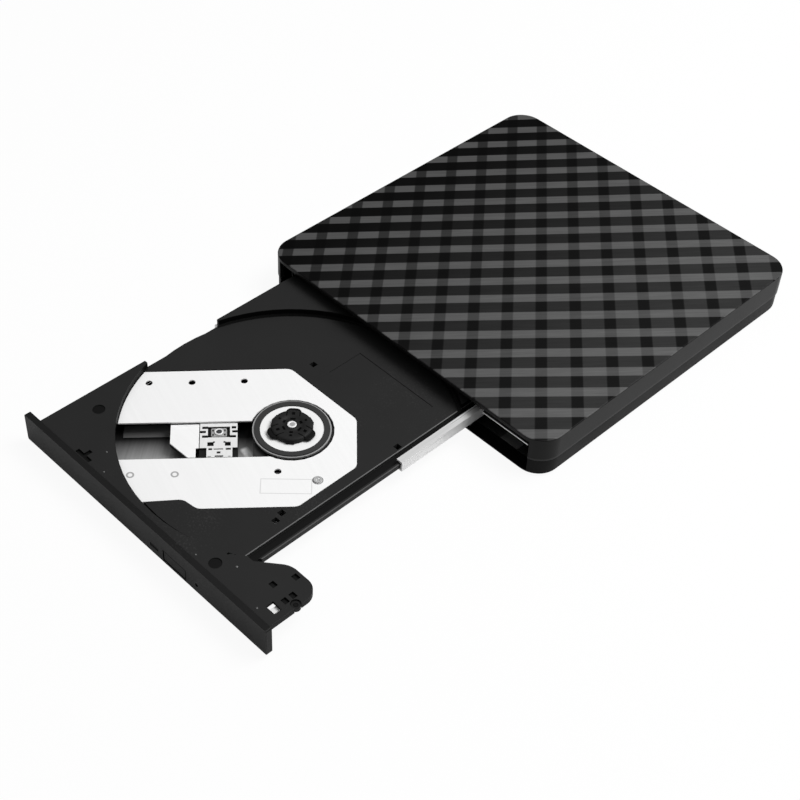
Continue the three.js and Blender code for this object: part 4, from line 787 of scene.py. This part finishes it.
def lens_material(name, tint):
    """Coated glass: tinted, glossy, with a faint change of tint over the dome."""
    f = Finish(name, 0.12, specular=0.4, coat=0.1)
    g = f.effect(GRAIN, Grain_Scale=900.0)
    f.colour(f.blend(g["Tone"], tint, tuple(0.8 * c for c in tint[:3]) + (1.0,)))
    f.rough(0.06, g["Gloss Change"], 0.05)
    return f.material


TURNTABLE = turntable_finish()
HUB = hub_finish()
PLATE = plate_finish()
LENS = lens_material("lens_glass", (0.045, 0.047, 0.052, 1.0))
LAMP = moulded("lamp_lens", 0.001, 0.002, 0.5, grain=0.1, specular=0.05, dust=0.0)

CAD_FINISHES = {
    "rubber": RUBBER, "steel": SHEET, "dark_plastic": BLACK, "tray_plastic": TRAY, "shell_plastic": SHELL,
    "lid_plastic": LID, "white_plate": WHITE, "board_green": BOARD, "brass_tone": BRASS,
    "lens_glass": LENS, "ribbon_grey": RIBBON,
}
OWN_FINISHES = {
    "right_rail": RAIL, "left_rail": RAIL, "main_rod": RAIL, "side_rod": RAIL,
    "turntable": TURNTABLE, "turntable_ring": RING_RUBBER, "spindle_shaft": SEAT, "spindle_hub": HUB,
    "hub_claw_1": CLAW, "hub_claw_2": CLAW, "hub_claw_3": CLAW,
    "cover_plate": PLATE, "plate_screw": SCREW, "under_plate": UNDER, "pickup_sled": BLACK,
    # Parts deep inside take the steel darkened as painted shade
    "traverse_frame": SHADE_DARKENED_STEEL, "chassis_pan": SHADE_DARKENED_STEEL, "spindle_motor": SHADE_DARKENED_STEEL, "sled_motor": SHEET,
    "latch_solenoid": COPPER, "latch_hook": PICKUP, "usb_socket": PICKUP,
    "bezel": BEZEL, "eject_button": BEZEL, "lamp_lens": LAMP,
}


def finish_cad_nodes():
    """Gives each CAD node its own finish, or that of its material slot."""
    slots = {s["node"]: s["material_slot"] for s in frame["record"]["subparts"]}
    for name, node in frame["nodes"].items():
        material = OWN_FINISHES.get(name) or CAD_FINISHES[slots[name]]
        if name.startswith(("shell_screw", "cover_screw")):
            material = SCREW
        node.data.materials.clear()
        node.data.materials.append(material)


finish_cad_nodes()
softened("top_shell", "housing", LID, 0.35, 3, angle=50)
softened("bottom_shell", "housing", SHELL, 0.15)
softened("tray_body", "tray", TRAY, 0.14)
softened("bezel", "tray", BEZEL, 0.25, 3)
softened("eject_button", "button", BEZEL, 0.15)
softened("cover_plate", "tray", PLATE, 0.1)
softened("chassis_cover", "housing", SHEET, 0.12)
softened("pickup_cover", "pickup", WHITE, 0.08)


# Pickup, laid out along and across the sled's way, then the hub and the tray's pins

def plate_cells(a_lines, b_lines, holes):
    """Kept cells of a grid of lines, less those whose middle lies in a hole (a0, a1, b0, b1)."""
    a, b = np.asarray(a_lines), np.asarray(b_lines)
    ma, mb = (a[1:] + a[:-1]) / 2, (b[1:] + b[:-1]) / 2
    kept = np.ones((len(ma), len(mb)), bool)
    for a0, a1, b0, b1 in holes:
        kept &= ~((ma[:, None] > a0) & (ma[:, None] < a1) & (mb[None] > b0) & (mb[None] < b1))
    return kept


def stamped(outer, holes, z0, z1):
    """A stamped plate in millimetres on the traverse: outer limits and holes as (a0, a1, b0, b1)."""
    a0, a1, b0, b1 = outer
    a_lines = sorted({a0, a1, *(min(max(h[k], a0), a1) for h in holes for k in (0, 1))})
    b_lines = sorted({b0, b1, *(min(max(h[k], b0), b1) for h in holes for k in (2, 3))})
    points, faces = punched_surface(a_lines, b_lines, plate_cells(a_lines, b_lines, holes), z0, z1)
    return on_traverse(points * MM), faces


def pickup_plates():
    """The actuator's stamped frame: comb slots at its ends, the lens window, and a tail with its own
    holes. Each row is (a0, a1, b0, b1) in millimetres."""
    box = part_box("actuator_frame")
    high = box[1].z / MM
    low = high - 0.3
    near, far = 19.15, 32.25
    combs = [(29.4, 31.5, -3.3, -2.1), (30.2, far, -1.25, -0.1), (29.4, 31.5, 1.05, 2.2),
             (19.6, 21.2, -3.3, -2.1), (near, 21.0, -1.3, -0.15), (19.6, 21.9, 1.1, 2.25)]
    window = (21.75, 29.5, -3.1, 2.1)
    squares = [(27.4, 29.6, 4.35, 6.25), (27.0, 27.6, 4.0, 4.8),
               (21.5, 23.5, 4.35, 6.25), (23.3, 24.0, 4.0, 4.8)]
    beside_tail = [(near, 20.9, 7.1, 11.7), (29.85, far, 7.1, 11.7)]
    tail = [(27.9, 29.2, 7.3, 8.2), (24.1, 27.4, 7.5, 8.0), (21.4, 23.2, 7.3, 8.2), (25.0, 26.3, 8.9, 9.9),
            (24.0, 27.0, 10.8, 11.5), (28.3, 29.5, 11.1, 11.45), (21.5, 22.4, 11.1, 11.45)]
    holes = combs + [window] + squares + beside_tail + tail
    points, faces = stamped((near, far, -4.8, 11.7), holes, low, high)
    plate = mesh_piece("actuator_frame_stamped", points, faces, "pickup", PICKUP, smooth=False)
    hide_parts("actuator_frame")


def lens_pieces():
    """The lens holder as a rounded silver seat with black slabs as painted shade in its wells, and a bright
    ring round the lens.
    """
    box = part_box("lens_holder")
    low, high = box[0].z, box[1].z
    centre = SPINDLE[:2] + 25.6 * MM * OUTWARD
    seat = slab_surface(rounded_outline(5.5 * MM, 4.0 * MM, 0.5 * MM), low, high - 0.2 * MM, 0.12 * MM)
    seat = (moved(seat[0], centre[0], centre[1], TRAVERSE_ANGLE), seat[1])
    holder = mesh_piece("lens_holder_seat", seat[0], seat[1], "lens_unit", SEAT)
    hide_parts("lens_holder")
    rim_points, rim_faces = ring_surface(1.3 * MM, 0.34 * MM, 0.3 * MM, high + 0.04 * MM, 40, 10, centre)
    rim = mesh_piece("lens_rim", rim_points, rim_faces, "lens_unit", PICKUP)
    # Painted shade: black slabs set into the seat's top stand in for the dark of four wells beside the lens
    wells = []
    for along, across in ((-2.05, -0.9), (2.05, -0.9), (-2.05, 1.2), (2.05, 1.2)):
        outline = rounded_outline(0.55 * MM, 0.9 * MM, 0.1 * MM)
        well = slab_surface(outline, high - 0.3 * MM, high - 0.12 * MM, 0.05 * MM)
        place = centre + along * MM * OUTWARD + across * MM * ACROSS
        wells.append((moved(well[0], place[0], place[1], TRAVERSE_ANGLE), well[1]))
    points, faces = combined(*wells)
    dark = mesh_piece("lens_wells_painted_shade", points, faces, "lens_unit", BLACK)


def round_the_hub(surface, angle, reach):
    """A surface made round the origin, carried out from the spindle by reach along an angle."""
    points, faces = surface
    x, y = SPINDLE[0] + reach * math.cos(angle), SPINDLE[1] + reach * math.sin(angle)
    return moved(points, x, y, angle), faces


def hub_pieces():
    """The hub as a turned cap with a rounded edge and a stepped middle, its claws as rounded arms and
    three blocks on the rim between them. Rows of the profile are radius and depth below the top."""
    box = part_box("spindle_hub")
    low, high = box[0].z, box[1].z
    edge = [(7.5, 0.7), (7.3, 0.3), (6.7, 0.05), (6.2, 0), (4.2, 0), (3.9, 0.35), (2.3, 0.4), (2.1, 0.15),
            (1.8, 0.1), (0, 0.1)]
    profile = [(0, low), (7.4 * MM, low), (7.5 * MM, low + 0.2 * MM)]
    profile += [(radius * MM, high - depth * MM) for radius, depth in edge]
    points, faces = turned_surface(profile, 96, SPINDLE[:2])
    cap = mesh_piece("hub_cap", points, faces, "turning_hub", HUB)
    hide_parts("spindle_hub")
    sixth = math.pi / 3
    for i in range(3):
        name = "hub_claw_%d" % (i + 1)
        outline = rounded_outline(4.2 * MM, 5.6 * MM, 2.0 * MM, 8)
        arm = slab_surface(outline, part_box(name)[0].z, high - 0.75 * MM, 0.3 * MM)
        points, faces = round_the_hub(arm, FIRST_CLAW + 2 * i * sixth, 6.95 * MM)
        piece = mesh_piece(name + "_arm", points, faces, "claw_body_%d" % (i + 1), CLAW)
        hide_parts(name)
    block = slab_surface(rounded_outline(1.8 * MM, 3.2 * MM, 0.3 * MM), low, high - 0.9 * MM, 0.1 * MM)
    points, faces = combined(*(
        round_the_hub(block, FIRST_CLAW + (2 * i + 1) * sixth, 6.9 * MM) for i in range(3)))
    stops = mesh_piece("hub_rim_blocks", points, faces, "turning_hub", CLAW)
    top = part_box("spindle_shaft")[1].z
    points, faces = ring_surface(1.3 * MM, 0.38 * MM, 0.2 * MM, top - 0.05 * MM, 40, 12, SPINDLE[:2])
    boss = mesh_piece("shaft_rim", points, faces, "turning_hub", PICKUP)


def tray_pins():
    """Small domed pins moulded on the tray's top: rows of x, y and radius in millimetres."""
    domes = []
    for x, y, radius in ((-31.5, -108.2, 0.35), (-24.7, -114.5, 0.35), (24.3, -114.7, 0.35),
                         (37.1, -108.2, 0.45), (54.1, -114.4, 0.4)):
        t = np.linspace(0, math.pi / 2, 5)
        side = np.stack([radius * MM * np.cos(t), TRAY_TOP - 0.05 * MM + 0.3 * MM * np.sin(t)], 1)[:-1]
        profile = [(0, TRAY_TOP - 0.05 * MM), *side.tolist(), (0, TRAY_TOP + 0.25 * MM)]
        domes.append(turned_surface(profile, 16, (x * MM, (y + DRIVE_SHIFT) * MM)))
    points, faces = combined(*domes)
    pins = mesh_piece("tray_pins", points, faces, "tray", PIN)


hub_pieces()
tray_pins()
pickup_plates()
lens_pieces()


# Camera, floor and light

def add_camera():
    """The photograph's view, solved from the disc recess, the drive's width and the housing's outline."""
    data = bpy.data.cameras.new("photo_camera")
    camera = bpy.data.objects.new("photo_camera", data)
    bpy.context.collection.objects.link(camera)
    data.sensor_width = 36.0
    data.lens = 70.7334
    data.clip_end = 10.0
    camera.location = (0.292315, -0.322806, 0.406422)
    camera.rotation_euler = tuple(math.radians(a) for a in (45.5162, -2.42493, 45.49696))
    bpy.context.scene.camera = camera


def add_floor():
    """A pale floor that keeps the shadow: part lit, part plain white to what looks at it."""
    mesh = bpy.data.meshes.new("studio_floor")
    size = 4.0
    corners = [(-size, -size, 0), (size, -size, 0), (size, size, 0), (-size, size, 0)]
    mesh.from_pydata(corners, [], [(0, 1, 2, 3)])
    floor = bpy.data.objects.new("studio_floor", mesh)
    bpy.context.collection.objects.link(floor)
    material = bpy.data.materials.new("studio_floor")
    material.use_nodes = True
    tree = material.node_tree
    tree.nodes.clear()
    out = tree.nodes.new("ShaderNodeOutputMaterial")
    lit = tree.nodes.new("ShaderNodeBsdfDiffuse")
    lit.inputs[0].default_value = (0.8, 0.8, 0.8, 1)
    white = tree.nodes.new("ShaderNodeEmission")
    white.inputs[0].default_value = (1, 1, 1, 1)
    path = tree.nodes.new("ShaderNodeLightPath")
    camera, through = path.outputs["Is Camera Ray"], path.outputs["Is Transmission Ray"]
    seen = math_node(tree, "ADD", camera, through, clamp=True)
    mirrored = math_node(tree, "MULTIPLY", path.outputs["Is Glossy Ray"], 0.25)
    seen = math_node(tree, "ADD", seen, mirrored, clamp=True)
    mix = tree.nodes.new("ShaderNodeMixShader")
    tree.links.new(math_node(tree, "MULTIPLY", seen, 0.93), mix.inputs[0])
    tree.links.new(lit.outputs[0], mix.inputs[1])
    tree.links.new(white.outputs[0], mix.inputs[2])
    tree.links.new(mix.outputs[0], out.inputs["Surface"])
    mesh.materials.append(material)


def add_light(name, place, aim, size, power):
    """A rectangular softbox: place, aim and size in metres, power in watts."""
    data = bpy.data.lights.new(name, "AREA")
    data.shape = "RECTANGLE"
    data.size, data.size_y = size
    data.energy = power
    lamp = bpy.data.objects.new(name, data)
    bpy.context.collection.objects.link(lamp)
    ahead = np.array(aim, float) - np.array(place, float)
    ahead /= np.linalg.norm(ahead)
    lamp.location = place
    lamp.rotation_euler = (math.acos(-ahead[2]), 0.0, math.atan2(ahead[1], ahead[0]) - math.pi / 2)


def add_world():
    """A studio sky: dim near the horizon and bright overhead."""
    world = bpy.data.worlds.new("studio")
    bpy.context.scene.world = world
    world.use_nodes = True
    tree = world.node_tree
    tree.nodes.clear()
    out = tree.nodes.new("ShaderNodeOutputWorld")
    back = tree.nodes.new("ShaderNodeBackground")
    place = tree.nodes.new("ShaderNodeTexCoord")
    parts = tree.nodes.new("ShaderNodeSeparateXYZ")
    ramp = tree.nodes.new("ShaderNodeValToRGB")
    tree.links.new(place.outputs["Generated"], parts.inputs[0])
    tree.links.new(parts.outputs[2], ramp.inputs[0])
    stops = ((0.0, 0.12), (0.25, 0.12), (0.5, 0.2), (0.7, 0.35), (0.85, 0.7), (1.0, 0.9))
    while len(ramp.color_ramp.elements) < len(stops):
        ramp.color_ramp.elements.new(0.5)
    for element, (position, level) in zip(ramp.color_ramp.elements, stops):
        element.position = position
        element.color = (level, level, level, 1.0)
    path = tree.nodes.new("ShaderNodeLightPath")
    shown = blend_colours(tree, path.outputs["Is Camera Ray"], ramp.outputs[0], grey(1.25))
    tree.links.new(shown, back.inputs[0])
    back.inputs[1].default_value = 0.8
    tree.links.new(back.outputs[0], out.inputs[0])


add_camera()
add_floor()
add_world()
add_light("overhead_softbox", (0.4, 0.4, 1.0), (0.0, 0.0, 0.0), (0.6, 0.6), 13.0)

bpy.context.scene.view_settings.view_transform = "Standard"
